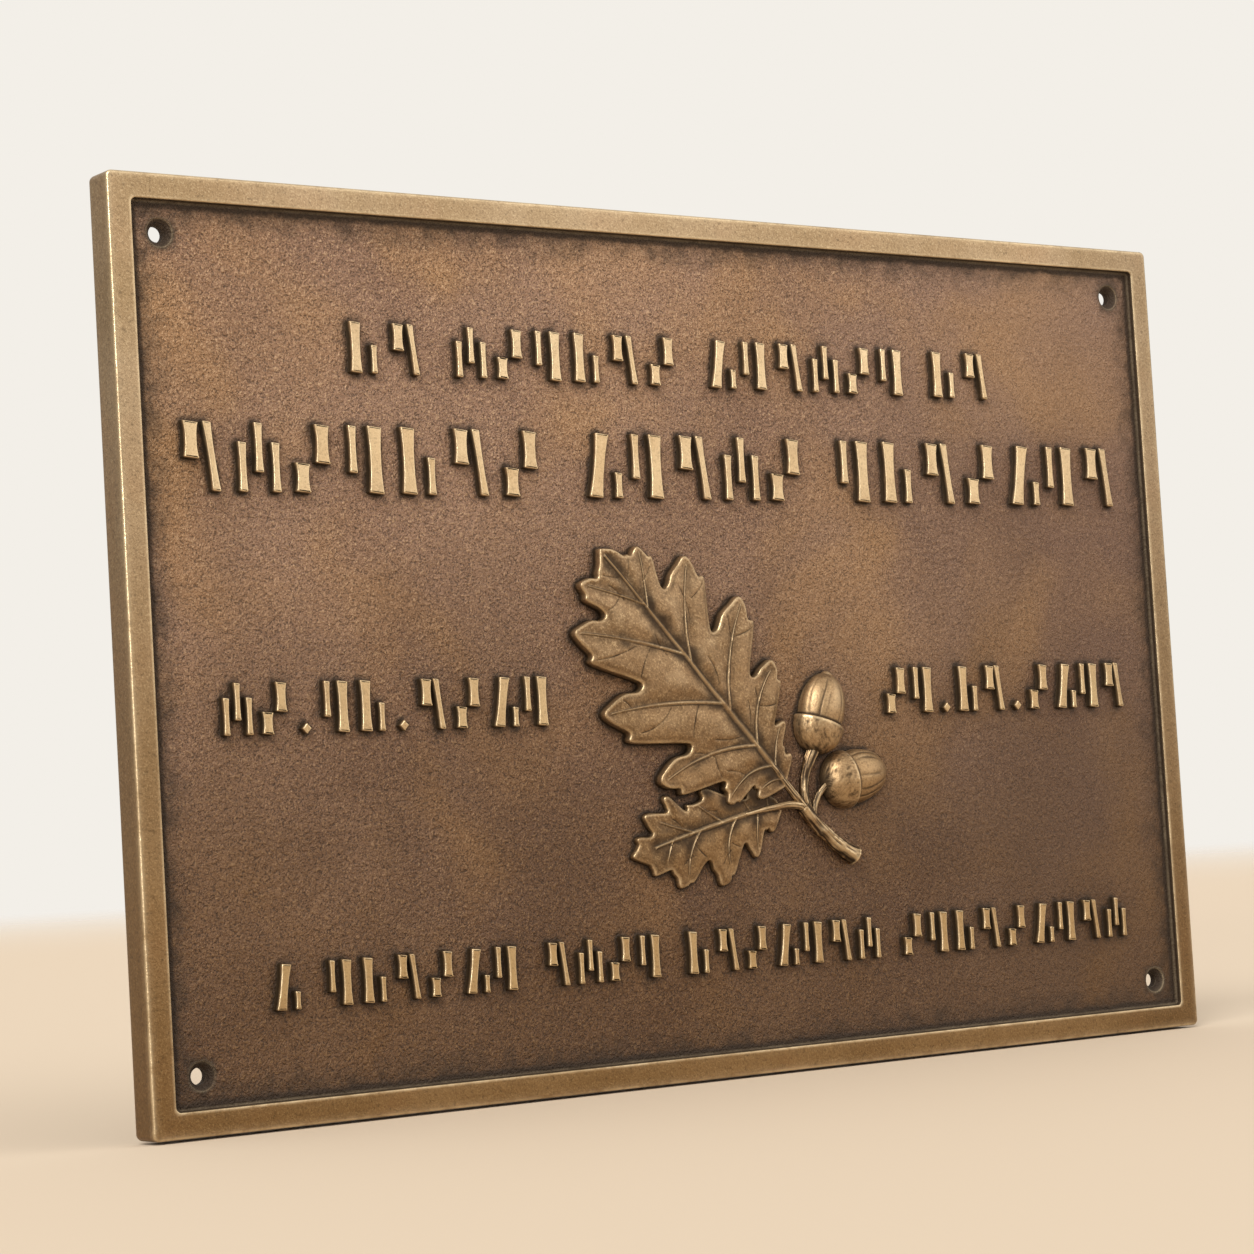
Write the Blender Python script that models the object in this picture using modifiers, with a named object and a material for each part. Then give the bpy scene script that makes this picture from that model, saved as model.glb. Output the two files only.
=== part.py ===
"""Bronze grave marker plaque, cast in one piece, to be screwed to a wall or a stone.

A flat field inside a raised border carries an oak spray, rows of raised strokes where an
inscription goes, and four countersunk screw holes. The back is hollow behind the field,
with a rim and two crossing ribs that meet the wall.

Metres, Z up. The plaque stands in the XZ plane with its face towards -Y. The origin is the
centre of the back, where the two ribs cross.
"""
import math

import bmesh
import bpy
from mathutils import Matrix, Vector
from mathutils.geometry import delaunay_2d_cdt

# The slab
PLAQUE_WIDTH = 0.3048
PLAQUE_HEIGHT = 0.2032
EDGE_THICKNESS = 0.0087        # wall to border face
BORDER_WIDTH = 0.0057
RECESS_DEPTH = 0.0018          # border face down to the field
FIELD_THICKNESS = 0.0036       # metal left behind the field
BACK_RIM_WIDTH = 0.0070
RIB_WIDTH = 0.0080
CORNER_RADIUS = 0.0015
FRONT_EDGE_ROUND = 0.0007
BACK_EDGE_ROUND = 0.0012
RECESS_CORNER_RADIUS = 0.0010
RECESS_DRAFT = 0.0002
POCKET_CORNER_RADIUS = 0.0030
POCKET_DRAFT = 0.0006

# The countersunk screw holes
HOLE_INSET_X = 0.0129          # hole centre in from the plaque's edge
HOLE_INSET_Z = 0.0125
HOLE_DIAMETER = 0.0036
COUNTERSINK_DIAMETER = 0.0064
COUNTERSINK_SHARE = 0.5        # of the metal behind the field

# The rows of strokes: left, right, foot and head as shares of half the field,
# then how many marks stand in each group
STROKE_ROWS = (
    (-0.655, 0.650, 0.631, 0.751, (2, 6, 6, 2)),
    (-0.951, 0.937, 0.352, 0.510, (7, 5, 7)),
    (-0.900, -0.310, -0.191, -0.073, (2, 2, 4)),
    (0.357, 0.921, -0.189, -0.071, (2, 2, 4)),
    (-0.842, 0.887, -0.803, -0.699, (1, 6, 4, 7, 9)),
)
BOLD_STROKE = 0.25             # stroke widths as shares of the mark's size
FINE_STROKE = 0.14
MARK_CROWDING = 0.77           # least pitch of the marks as a share of their size
STROKE_WAIST = 0.74            # middle width as a share of the end width
STROKE_CANT = 0.18             # slant of the cut ends, as a share of the width
GROUP_GAP = 0.55               # gap between groups as a share of the row's height
STUD_SIZE = 0.20               # lozenge studs as a share of the mark's size
STUD_PLACE = 0.45              # across the gap between groups

# The kinds of mark: each stroke has its place across the cell, foot, head, lean and width
MARKS = (
    ((0.27, 0.00, 1.00, 0.00, BOLD_STROKE), (0.70, 0.00, 0.56, 0.00, FINE_STROKE)),
    ((0.22, 0.30, 1.00, 0.00, FINE_STROKE), (0.64, 0.00, 1.00, 0.00, BOLD_STROKE)),
    ((0.36, 0.00, 1.00, 0.16, BOLD_STROKE), (0.84, 0.00, 0.40, 0.00, FINE_STROKE)),
    ((0.28, 0.00, 0.44, 0.00, BOLD_STROKE), (0.66, 0.42, 1.00, 0.00, BOLD_STROKE)),
    ((0.20, 0.00, 0.72, 0.00, FINE_STROKE), (0.50, 0.28, 1.00, 0.00, FINE_STROKE),
     (0.80, 0.00, 0.72, 0.00, FINE_STROKE)),
    ((0.30, 0.46, 1.00, 0.00, BOLD_STROKE), (0.72, 0.00, 1.00, -0.12, FINE_STROKE)),
)

# The oak spray stands round the joint where the leaves and stalks leave the twig
JOINT_ACROSS = 0.170           # share of half the field
JOINT_UP = -0.415
BIG_LEAF_LENGTH = 0.0834
BIG_LEAF_ANGLE = 132.2         # degrees from +X, turning up
SMALL_LEAF_LENGTH = 0.0519
SMALL_LEAF_ANGLE = 190.4
BIG_LEAF_LIFT = 0.0024         # top of the leaf's edge above the field
SMALL_LEAF_LIFT = 0.0014
LEAF_CROWN = 0.0005            # swell of the blade above its edge
VEIN_HEIGHT = 0.0004
RIB_HEIGHT = 0.0005
RIB_HALF_WIDTH = 0.0008
LOBE_ROUND = 0.0022            # radius of a lobe's end
BAY_ROUND = 0.0013             # radius of the bay between lobes
ROUND_SHARE = 0.16             # most that a small lobe is rounded, as a share of its side
BAY_SHARE = 0.22               # most that a bay is rounded, as a share of its depth
TOOTH_NOTCH = 0.31             # from the lobe's tip towards the next bay
TOOTH_PLACE = 0.36
TOOTHLESS_SIDE = 0.0085        # a lobe with a shorter side has no tooth
FLANK_SWELL = 0.12
VEIN_SHARES = (0.14, 0.50, 0.86)
HOLLOW_SHARES = (0.30, 0.65)
LEAF_STEPS = 3                 # mesh points for each point of the outline

# Each lobe, in hundredths of the leaf's length: where its vein leaves the rib, then its tip
# and the next bay (along, across), from the apex down the right side and down the left
BIG_LEAF = {
    "bow": (50, 0),
    "apex": 3.2,
    "tooth": 0.15,
    "first_bays": ((92.5, 5), (94.5, -6)),
    "right": (
        (77, (92, 10), (77, 8.5)),
        (56, (79, 20.5), (57, 12.5)),
        (37, (58, 26.5), (38.5, 13.5)),
        (23.5, (37.5, 22), (23.5, 9.5)),
        (16, (22.5, 12.5), (17.5, 7)),
        (12, (14.5, 7.5), (10, 1.2)),
    ),
    "left": (
        (79, (97.5, -12), (85.5, -12)),
        (60, (89.5, -23), (63.5, -17)),
        (40, (67, -32), (40, -17)),
        (23, (41, -31.5), (24.5, -15.5)),
        (16.5, (20.5, -19), (16.5, -8.5)),
        (11.5, (14, -10), (9, -1.2)),
    ),
}
SMALL_LEAF = {
    "bow": (8, 8.5),
    "apex": 1.4,
    "tooth": 0.11,
    "first_bays": ((96, 3), (90.5, -6)),
    "right": (
        (85, (96, 6.5), (86, 7.5)),
        (75, (89.5, 15.5), (75.5, 15.5)),
        (63, (77, 21), (64.5, 14)),
        (51, (56, 20), (41, 15)),
        (36, (31, 15.5), (14, 7)),
    ),
    "left": (
        (86, (90, -11), (79.5, -10.5)),
        (73, (77.5, -19.5), (57.5, -11.5)),
        (55, (54.5, -24), (35.5, -8.5)),
        (44, (32.5, -16), (23.5, -5)),
        (34, (20.5, -7), (12, 1.5)),
    ),
}

TWIG_LENGTH = 0.0195
TWIG_ANGLE = -39.6
TWIG_BOW = -0.05
TWIG_RADIUS = 0.0021           # at its cut end
TWIG_NECK_RADIUS = 0.0013      # at the joint
TWIG_LIFT = 0.0016             # axis above the field
PETIOLE_RADIUS = 0.0009
PETIOLE_LIFT = 0.0019

# The acorns: where the cup's base stands from the joint, and which way they point
ACORN_LENGTH = 0.0207
CUP_LENGTH = 0.0075
CUP_DIAMETER = 0.0138
NUT_DIAMETER = 0.0122
NUT_POINT_DIAMETER = 0.0016
ACORN_FLATTEN = 0.88           # relief height as a share of the real roundness
ACORN_LIFT = 0.0004
STALK_RADIUS = 0.0011
ACORNS = (
    {"name": "upright", "across": 0.0043, "up": 0.0128, "angle": 71.0, "bow": (-0.0022, 0.0040)},
    {"name": "level", "across": 0.0068, "up": 0.0052, "angle": 8.8, "bow": (0.0036, 0.0028)},
)

ROOT_DEPTH = 0.0006            # how far relief reaches into the field
OVERCUT = 0.0020               # how far a cutter runs past what it cuts
ROUND_SEGMENTS = 2
TURN_STEPS = 18

FIELD_Y = RECESS_DEPTH - EDGE_THICKNESS
FIELD_HALF_WIDTH = PLAQUE_WIDTH / 2 - BORDER_WIDTH
FIELD_HALF_HEIGHT = PLAQUE_HEIGHT / 2 - BORDER_WIDTH
JOINT = Vector((JOINT_ACROSS * FIELD_HALF_WIDTH, JOINT_UP * FIELD_HALF_HEIGHT))

for leftover in list(bpy.data.objects):
    bpy.data.objects.remove(leftover, do_unlink=True)


def collection(name):
    group = bpy.data.collections.new(name)
    bpy.context.scene.collection.children.link(group)
    return group


PART = collection("bronze_grave_marker_plaque")
TOOLS = collection("cutters_and_relief")


def bronze():
    """Satin antique bronze."""
    material = bpy.data.materials.new("antique_bronze")
    material.use_nodes = True
    shader = material.node_tree.nodes["Principled BSDF"]
    shader.inputs["Base Color"].default_value = (0.29, 0.19, 0.10, 1.0)
    shader.inputs["Metallic"].default_value = 0.9
    shader.inputs["Roughness"].default_value = 0.42
    return material


def add_object(name, mesh, group):
    piece = bpy.data.objects.new(name, mesh)
    group.objects.link(piece)
    if group is TOOLS:
        piece.hide_render = True
        piece.display_type = "WIRE"
    return piece


def mesh_from(name, form, group):
    mesh = bpy.data.meshes.new(name)
    form.to_mesh(mesh)
    form.free()
    return add_object(name, mesh, group)


def relief(flat, lift):
    """World place of a point on the face: across and up, and its height above the field."""
    return Vector((flat[0], FIELD_Y - lift, flat[1]))


def applied(piece):
    """The piece with its modifiers or its curve settings made into a plain mesh."""
    bpy.context.view_layer.update()
    graph = bpy.context.evaluated_depsgraph_get()
    mesh = bpy.data.meshes.new_from_object(piece.evaluated_get(graph))
    mesh.transform(piece.matrix_world)
    form = bmesh.new()
    form.from_mesh(mesh)
    bmesh.ops.remove_doubles(form, verts=form.verts, dist=0.000005)
    name = piece.name
    bpy.data.objects.remove(piece, do_unlink=True)
    bpy.data.meshes.remove(mesh)
    return mesh_from(name, form, TOOLS)


def slab(name, width, height, y_front, y_back, corner, group, centre=(0, 0), front_grow=0, back_grow=0):
    """A box with its four long corners rounded; one end may be larger, as a mould's draft."""
    form = bmesh.new()
    bmesh.ops.create_cube(form, size=1.0)
    size = Matrix.Diagonal((width, y_back - y_front, height, 1.0))
    place = Matrix.Translation((centre[0], (y_front + y_back) / 2, centre[1]))
    bmesh.ops.transform(form, matrix=place @ size, verts=form.verts)
    corners = [e for e in form.edges if abs(e.verts[0].co.y - e.verts[1].co.y) > 1e-6]
    bmesh.ops.bevel(form, geom=corners, offset=corner, segments=ROUND_SEGMENTS + 1,
                    profile=0.5, affect="EDGES", clamp_overlap=True)
    middle = (y_front + y_back) / 2
    for vert in form.verts:
        grow = front_grow if vert.co.y < middle else back_grow
        vert.co.x += math.copysign(grow, vert.co.x - centre[0])
        vert.co.z += math.copysign(grow, vert.co.z - centre[1])
    return mesh_from(name, form, group)


def round_rim(form, y_rim, radius):
    """Rounds every edge that lies in one plane of constant Y."""
    rim = [e for e in form.edges if all(abs(v.co.y - y_rim) < 1e-6 for v in e.verts)]
    bmesh.ops.bevel(form, geom=rim, offset=radius, segments=ROUND_SEGMENTS,
                    profile=0.5, affect="EDGES", clamp_overlap=True)


def plate():
    """The slab with its front and back edges rounded."""
    piece = slab("bronze_plaque", PLAQUE_WIDTH, PLAQUE_HEIGHT, -EDGE_THICKNESS, 0.0,
                 CORNER_RADIUS, PART)
    form = bmesh.new()
    form.from_mesh(piece.data)
    round_rim(form, -EDGE_THICKNESS, FRONT_EDGE_ROUND)
    round_rim(form, 0.0, BACK_EDGE_ROUND)
    form.to_mesh(piece.data)
    form.free()
    return piece


def cut_or_join(piece, tool, operation):
    step = piece.modifiers.new(tool.name, "BOOLEAN")
    step.operation = operation
    step.solver = "EXACT"
    step.object = tool


def recess():
    """The cutter for the field. It leans outwards towards the viewer."""
    width = 2 * FIELD_HALF_WIDTH
    height = 2 * FIELD_HALF_HEIGHT
    return slab("recess_cutter", width, height, -EDGE_THICKNESS - OVERCUT, FIELD_Y,
                RECESS_CORNER_RADIUS, TOOLS, front_grow=RECESS_DRAFT)


def pockets():
    """The four cutters that hollow the back between the rim and the ribs."""
    width = PLAQUE_WIDTH / 2 - BACK_RIM_WIDTH - RIB_WIDTH / 2
    height = PLAQUE_HEIGHT / 2 - BACK_RIM_WIDTH - RIB_WIDTH / 2
    for side in (-1, 1):
        for end in (-1, 1):
            centre = (side * (RIB_WIDTH + width) / 2, end * (RIB_WIDTH + height) / 2)
            yield slab(f"pocket_cutter_{side}_{end}", width, height, FIELD_Y + FIELD_THICKNESS,
                       OVERCUT, POCKET_CORNER_RADIUS, TOOLS, centre=centre, back_grow=POCKET_DRAFT)


def turned(name, profile, steps, matrix):
    """A solid of revolution: the profile (radius, height) runs from top to bottom about Z."""
    mesh = bpy.data.meshes.new(name)
    verts = [(radius, 0.0, height) for radius, height in profile]
    mesh.from_pydata(verts, [(i, i + 1) for i in range(len(verts) - 1)], [])
    piece = add_object(name, mesh, TOOLS)
    piece.matrix_world = matrix
    screw = piece.modifiers.new("turn", "SCREW")
    screw.steps = steps
    screw.render_steps = steps
    screw.use_merge_vertices = True
    screw.merge_threshold = 0.00001
    return applied(piece)


def screw_holes():
    """One countersunk cutter for each corner, its axis along Y."""
    depth = FIELD_THICKNESS * COUNTERSINK_SHARE
    rim = COUNTERSINK_DIAMETER / 2
    bore = HOLE_DIAMETER / 2
    slope = (rim - bore) / depth
    clear = OVERCUT / 2
    profile = [(0.0, clear), (rim + slope * clear, clear), (bore, -depth),
               (bore, -FIELD_THICKNESS - clear), (0.0, -FIELD_THICKNESS - clear)]
    for side in (-1, 1):
        for end in (-1, 1):
            centre = Vector((side * (PLAQUE_WIDTH / 2 - HOLE_INSET_X), FIELD_Y,
                             end * (PLAQUE_HEIGHT / 2 - HOLE_INSET_Z)))
            turn = Matrix.Translation(centre) @ Matrix.Rotation(math.radians(90), 4, "X")
            yield turned(f"hole_cutter_{side}_{end}", profile, TURN_STEPS, turn)


def stroke_outline(x, foot, head, lean, width):
    """A bar with a narrower waist and slanted ends."""
    half = width / 2
    waist = half * STROKE_WAIST
    cant = STROKE_CANT * half
    middle = (foot + head) / 2
    return [(x - half, foot + cant), (x + half, foot), (x + lean / 2 + waist, middle),
            (x + lean + half, head - cant), (x + lean - half, head), (x + lean / 2 - waist, middle)]


def stud_outline(x, up, size):
    return [(x - size / 2, up), (x, up - size / 2), (x + size / 2, up), (x, up + size / 2)]


def row_outlines(number, row):
    """The strokes of one row: marks in groups, and a stud in each gap of a divided row."""
    left, right, foot, head, groups = row
    left, right = left * FIELD_HALF_WIDTH, right * FIELD_HALF_WIDTH
    foot, head = foot * FIELD_HALF_HEIGHT, head * FIELD_HALF_HEIGHT
    tall = head - foot
    gap = GROUP_GAP * tall
    pitch = (right - left - gap * (len(groups) - 1)) / sum(groups)
    size = min(tall, pitch / MARK_CROWDING)
    at = left
    count = number
    for group, marks in enumerate(groups):
        for _ in range(marks):
            for across, low, high, lean, width in MARKS[(5 * count) % len(MARKS)]:
                yield stroke_outline(at + across * pitch, foot + low * tall, foot + high * tall,
                                     lean * size, width * size)
            at += pitch
            count += 1 + (count % 4 == 3)
        if group < len(groups) - 1 and groups == (2, 2, 4):
            yield stud_outline(at + gap * STUD_PLACE, foot + STUD_SIZE * size / 2,
                               STUD_SIZE * size)
        at += gap


def strokes():
    """All the raised strokes, as one filled flat curve as thick as their height and root."""
    curve = bpy.data.curves.new("strokes", "CURVE")
    curve.dimensions = "2D"
    curve.fill_mode = "BOTH"
    curve.extrude = (RECESS_DEPTH + ROOT_DEPTH) / 2
    for number, row in enumerate(STROKE_ROWS):
        for outline in row_outlines(number, row):
            spline = curve.splines.new("POLY")
            spline.points.add(len(outline) - 1)
            spline.use_cyclic_u = True
            for point, (x, up) in zip(spline.points, outline):
                point.co = (x, up, 0.0, 1.0)
    piece = add_object("strokes", curve, TOOLS)
    middle = relief((0, 0), (RECESS_DEPTH - ROOT_DEPTH) / 2)
    piece.matrix_world = Matrix.Translation(middle) @ Matrix.Rotation(math.radians(90), 4, "X")
    return applied(piece)


def smooth(points, steps):
    """A Catmull-Rom curve through flat points."""
    dense = []
    for i in range(len(points) - 1):
        before = points[max(i - 1, 0)]
        start, end = points[i], points[i + 1]
        after = points[min(i + 2, len(points) - 1)]
        for k in range(steps):
            t = k / steps
            dense.append(start + ((end - before) * t
                                  + (2 * before - 5 * start + 4 * end - after) * t * t
                                  + (3 * start - before - 3 * end + after) * t ** 3) / 2)
    dense.append(points[-1])
    return dense


class Leaf:
    """A lobed leaf in its own frame: along the rib from the joint, and across to the right."""

    def __init__(self, plan, origin, length, angle, lift):
        self.plan, self.origin, self.length, self.lift = plan, origin, length, lift
        turn = math.radians(angle)
        self.along = Vector((math.cos(turn), math.sin(turn)))
        self.across = Vector((math.sin(turn), -math.cos(turn)))

    def at(self, pair):
        return Vector(pair) * self.length / 100

    def rib(self, share):
        """A point of the rib, a parabola bent towards the plan's bow."""
        return self.at(Vector(self.plan["bow"]) * 2 * share * (1 - share)
                       + Vector((100, 0)) * share * share)

    def lobes(self, side):
        """Vein root, tip, bay before and bay after of each lobe of one side."""
        rows = self.plan["right" if side > 0 else "left"]
        bays = [self.at(self.plan["first_bays"][0 if side > 0 else 1])]
        bays += [self.at(row[2]) for row in rows]
        return [(self.rib(row[0] / 100), self.at(row[1]), bays[i], bays[i + 1])
                for i, row in enumerate(rows)]

    def edge(self, side):
        """Outline of one side from the apex to the base.

        Each lobe has a rounded end, a small tooth below it and a rounded bay before it.
        """
        apex = self.at((100, 0))
        blunt = self.plan["apex"]
        points = [apex, self.at((100 - blunt, side * blunt))]
        last_tip, last_out = apex, Vector((1, 0))
        for root, tip, bay, next_bay in self.lobes(side):
            out = (tip - root).normalized()
            chord = next_bay - tip
            crossing = tip - last_tip
            bay_depth = abs(crossing.cross(bay - tip)) / crossing.length
            lobe_round = min(LOBE_ROUND, ROUND_SHARE * chord.length)
            bay_round = min(BAY_ROUND, BAY_SHARE * bay_depth)
            mouth = (last_out + out).normalized()
            aside = Vector((mouth.y, -mouth.x)) * side
            wall = bay + (mouth - aside) * bay_round
            forward = Vector((out.y, -out.x)) * side
            shoulder = tip + (forward - out) * lobe_round
            flank = (wall + shoulder) / 2 + forward * FLANK_SWELL * (shoulder - wall).length
            points += [bay + (mouth + aside) * bay_round, bay, wall, flank, shoulder, tip,
                       tip - (forward + out) * lobe_round]
            if chord.length > TOOTHLESS_SIDE:
                outward = Vector((chord.y, -chord.x)) * side * self.plan["tooth"]
                points += [tip + chord * TOOTH_NOTCH + outward / 2,
                           tip + chord * TOOTH_PLACE + outward]
            last_tip, last_out = tip, out
        points.append(next_bay)
        return smooth(points, LEAF_STEPS)

    def place(self, local, lift):
        flat = self.origin + self.along * local.x + self.across * local.y
        return relief(flat, lift)

    def blade(self):
        """Points of the blade with their height above its edge, and the lines that join them.

        The rib and the veins are ridges, and the blade sinks a little between two veins.
        """
        points, lines = [], []

        def line(flats, heights):
            first = len(points)
            points.extend(zip(flats, heights))
            lines.extend((i, i + 1) for i in range(first, len(points) - 1))

        right, left = self.edge(1), self.edge(-1)
        outline = right + left[:0:-1]
        line(outline, [0.0] * len(outline))
        lines.append((len(outline) - 1, 0))
        lobes = self.lobes(1) + self.lobes(-1)
        base = self.rib(self.plan["right"][-1][0] / 100).length
        count = 2 * len(self.plan["right"])
        shares = [base / self.length * 0.9 + (0.93 - base / self.length * 0.9) * i / count
                  for i in range(count + 1)]
        rib = [self.rib(share) for share in shares]
        for offset, height in ((-RIB_HALF_WIDTH, LEAF_CROWN), (0.0, LEAF_CROWN + RIB_HEIGHT),
                               (RIB_HALF_WIDTH, LEAF_CROWN)):
            line([p + Vector((0, offset)) for p in rib], [height] * len(rib))
        for root, tip, bay, next_bay in lobes:
            line([root.lerp(tip, share) for share in VEIN_SHARES], [LEAF_CROWN + VEIN_HEIGHT] * 3)
            for share in HOLLOW_SHARES:
                points.append((next_bay.lerp(root, share), LEAF_CROWN / 2))
        return points, lines, len(outline)

    def solid(self, name):
        """The blade with a wall below its edge, closed underneath inside the field's metal."""
        points, lines, rim = self.blade()
        flats = [flat for flat, _ in points]
        found = delaunay_2d_cdt(flats, lines, [list(range(rim))], 1, 1e-7)
        places, _, faces, origins = found[:4]
        form = bmesh.new()
        top = []
        for place, origin in zip(places, origins):
            height = points[origin[0]][1] if origin else LEAF_CROWN
            top.append(form.verts.new(self.place(place, self.lift + height)))
        for face in faces:
            form.faces.new([top[i] for i in face])
        edges = [e for e in form.edges if len(e.link_faces) == 1]
        wall = bmesh.ops.extrude_edge_only(form, edges=edges)["geom"]
        foot = [item for item in wall if isinstance(item, bmesh.types.BMVert)]
        for vert in foot:
            vert.co.y = relief((0, 0), -ROOT_DEPTH).y
        rims = [e for e in form.edges if len(e.link_faces) == 1]
        bmesh.ops.edgeloop_fill(form, edges=rims)
        bmesh.ops.recalc_face_normals(form, faces=form.faces)
        return mesh_from(name, form, TOOLS)


def tube(name, route, radii):
    """A round bar along a route of relief points, with a radius at each."""
    curve = bpy.data.curves.new(name, "CURVE")
    curve.dimensions = "3D"
    curve.bevel_depth = 1.0
    curve.bevel_resolution = 2
    curve.use_fill_caps = True
    spline = curve.splines.new("POLY")
    spline.points.add(len(route) - 1)
    for point, place, radius in zip(spline.points, route, radii):
        point.co = (*place, 1.0)
        point.radius = radius
    return applied(add_object(name, curve, TOOLS))


def bend(start, control, end, count):
    """Points of a parabola from start to end, drawn towards control."""
    shares = [i / (count - 1) for i in range(count)]
    return [start * (1 - t) ** 2 + control * 2 * t * (1 - t) + end * t * t for t in shares]


def taper(first, last, count):
    return [first + (last - first) * i / (count - 1) for i in range(count)]


def twig():
    """The cut twig, from inside the big leaf's base to its free end."""
    turn = math.radians(TWIG_ANGLE)
    way = Vector((math.cos(turn), math.sin(turn))) * TWIG_LENGTH
    side = Vector((-way.y, way.x)) * TWIG_BOW
    route = bend(JOINT, JOINT + way / 2 + side * 2, JOINT + way, 7)
    return tube("twig", [relief(p, TWIG_LIFT) for p in route],
                taper(TWIG_NECK_RADIUS, TWIG_RADIUS, len(route)))


def petiole(leaf, name):
    """The bare stalk between a leaf's blade and the joint, running on down into the twig."""
    reach = leaf.plan["right"][-1][0] / 100
    count = 4
    places = [leaf.rib(reach * (1 - i / (count - 1))) for i in range(count)]
    route = [leaf.place(p, PETIOLE_LIFT) for p in places]
    route.append(leaf.place(Vector((-PETIOLE_RADIUS, 0)), TWIG_LIFT))
    return tube(name, route, taper(PETIOLE_RADIUS * 0.7, TWIG_NECK_RADIUS * 0.9, len(route)))


def acorn_profile():
    """Radius and height of an acorn from its point down to the foot of its cup."""
    nut_length = ACORN_LENGTH - CUP_LENGTH
    nut, cup = NUT_DIAMETER / 2, CUP_DIAMETER / 2
    point = NUT_POINT_DIAMETER / 2
    profile = [(0.0, ACORN_LENGTH), (point, ACORN_LENGTH - point)]
    for share in (0.92, 0.80, 0.62, 0.40, 0.15, 0.0):
        profile.append((nut * math.sqrt(1 - share ** 2.6), CUP_LENGTH + nut_length * share))
    for share in (1.0, 0.72, 0.46, 0.22, 0.06):
        profile.append((cup * math.sqrt(1 - (1 - share) ** 2.4), CUP_LENGTH * share))
    profile.append((0.0, 0.0))
    return profile


def keep_above(piece, lift):
    """Cuts off what lies below a height over the field, and closes the cut."""
    form = bmesh.new()
    form.from_mesh(piece.data)
    geometry = list(form.verts) + list(form.edges) + list(form.faces)
    cut = bmesh.ops.bisect_plane(form, geom=geometry, plane_co=relief((0, 0), lift),
                                 plane_no=(0, 1, 0), clear_outer=True)
    rim = [item for item in cut["geom_cut"] if isinstance(item, bmesh.types.BMEdge)]
    bmesh.ops.edgeloop_fill(form, edges=rim)
    bmesh.ops.recalc_face_normals(form, faces=form.faces)
    form.to_mesh(piece.data)
    form.free()
    return piece


def acorns():
    """Each acorn lies on the field, half sunk, on a stalk that leaves the twig."""
    for plan in ACORNS:
        foot = JOINT + Vector((plan["across"], plan["up"]))
        turn = math.radians(plan["angle"])
        out = Vector((math.cos(turn), 0, math.sin(turn)))
        up = Vector((0, -1, 0))
        aside = up.cross(out)
        axes = Matrix((aside, up * ACORN_FLATTEN, out)).transposed().to_4x4()
        place = Matrix.Translation(relief(foot, ACORN_LIFT))
        body = turned(f"{plan['name']}_acorn", acorn_profile(), TURN_STEPS, place @ axes)
        yield keep_above(body, -ROOT_DEPTH)
        start = JOINT + Vector((math.cos(math.radians(TWIG_ANGLE)),
                                math.sin(math.radians(TWIG_ANGLE)))) * TWIG_LENGTH * 0.22
        inside = foot + Vector((out.x, out.z)) * CUP_LENGTH * 0.2
        route = bend(start, JOINT + Vector(plan["bow"]), inside, 6)
        yield tube(f"{plan['name']}_stalk", [relief(p, STALK_RADIUS) for p in route],
                   taper(STALK_RADIUS, STALK_RADIUS, len(route)))


def build():
    plaque = plate()
    plaque.data.materials.append(bronze())
    cut_or_join(plaque, recess(), "DIFFERENCE")
    for cutter in pockets():
        cut_or_join(plaque, cutter, "DIFFERENCE")
    for cutter in screw_holes():
        cut_or_join(plaque, cutter, "DIFFERENCE")
    cut_or_join(plaque, strokes(), "UNION")
    small = Leaf(SMALL_LEAF, JOINT, SMALL_LEAF_LENGTH, SMALL_LEAF_ANGLE, SMALL_LEAF_LIFT)
    big = Leaf(BIG_LEAF, JOINT, BIG_LEAF_LENGTH, BIG_LEAF_ANGLE, BIG_LEAF_LIFT)
    cut_or_join(plaque, small.solid("small_leaf"), "UNION")
    cut_or_join(plaque, big.solid("big_leaf"), "UNION")
    cut_or_join(plaque, petiole(small, "small_leaf_stalk"), "UNION")
    cut_or_join(plaque, petiole(big, "big_leaf_stalk"), "UNION")
    cut_or_join(plaque, twig(), "UNION")
    for relief_piece in acorns():
        cut_or_join(plaque, relief_piece, "UNION")


build()
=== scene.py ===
import math

import bmesh
import bpy
import numpy as np
from mathutils import Matrix, Vector
from mathutils.geometry import delaunay_2d_cdt


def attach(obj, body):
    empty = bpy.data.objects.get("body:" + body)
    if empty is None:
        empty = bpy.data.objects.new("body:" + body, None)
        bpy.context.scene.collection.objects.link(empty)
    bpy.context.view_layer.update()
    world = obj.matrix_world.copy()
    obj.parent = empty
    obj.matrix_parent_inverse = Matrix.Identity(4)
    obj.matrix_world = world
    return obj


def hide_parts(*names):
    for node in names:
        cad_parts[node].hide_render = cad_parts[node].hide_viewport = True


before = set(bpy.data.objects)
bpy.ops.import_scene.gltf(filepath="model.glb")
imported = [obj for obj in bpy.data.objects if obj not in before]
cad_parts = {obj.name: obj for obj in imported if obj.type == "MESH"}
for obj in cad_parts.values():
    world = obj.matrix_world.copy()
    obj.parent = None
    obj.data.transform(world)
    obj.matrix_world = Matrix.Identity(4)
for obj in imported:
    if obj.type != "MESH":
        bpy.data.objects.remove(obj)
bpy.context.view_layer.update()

mm = 0.001
scene = bpy.context.scene

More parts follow.
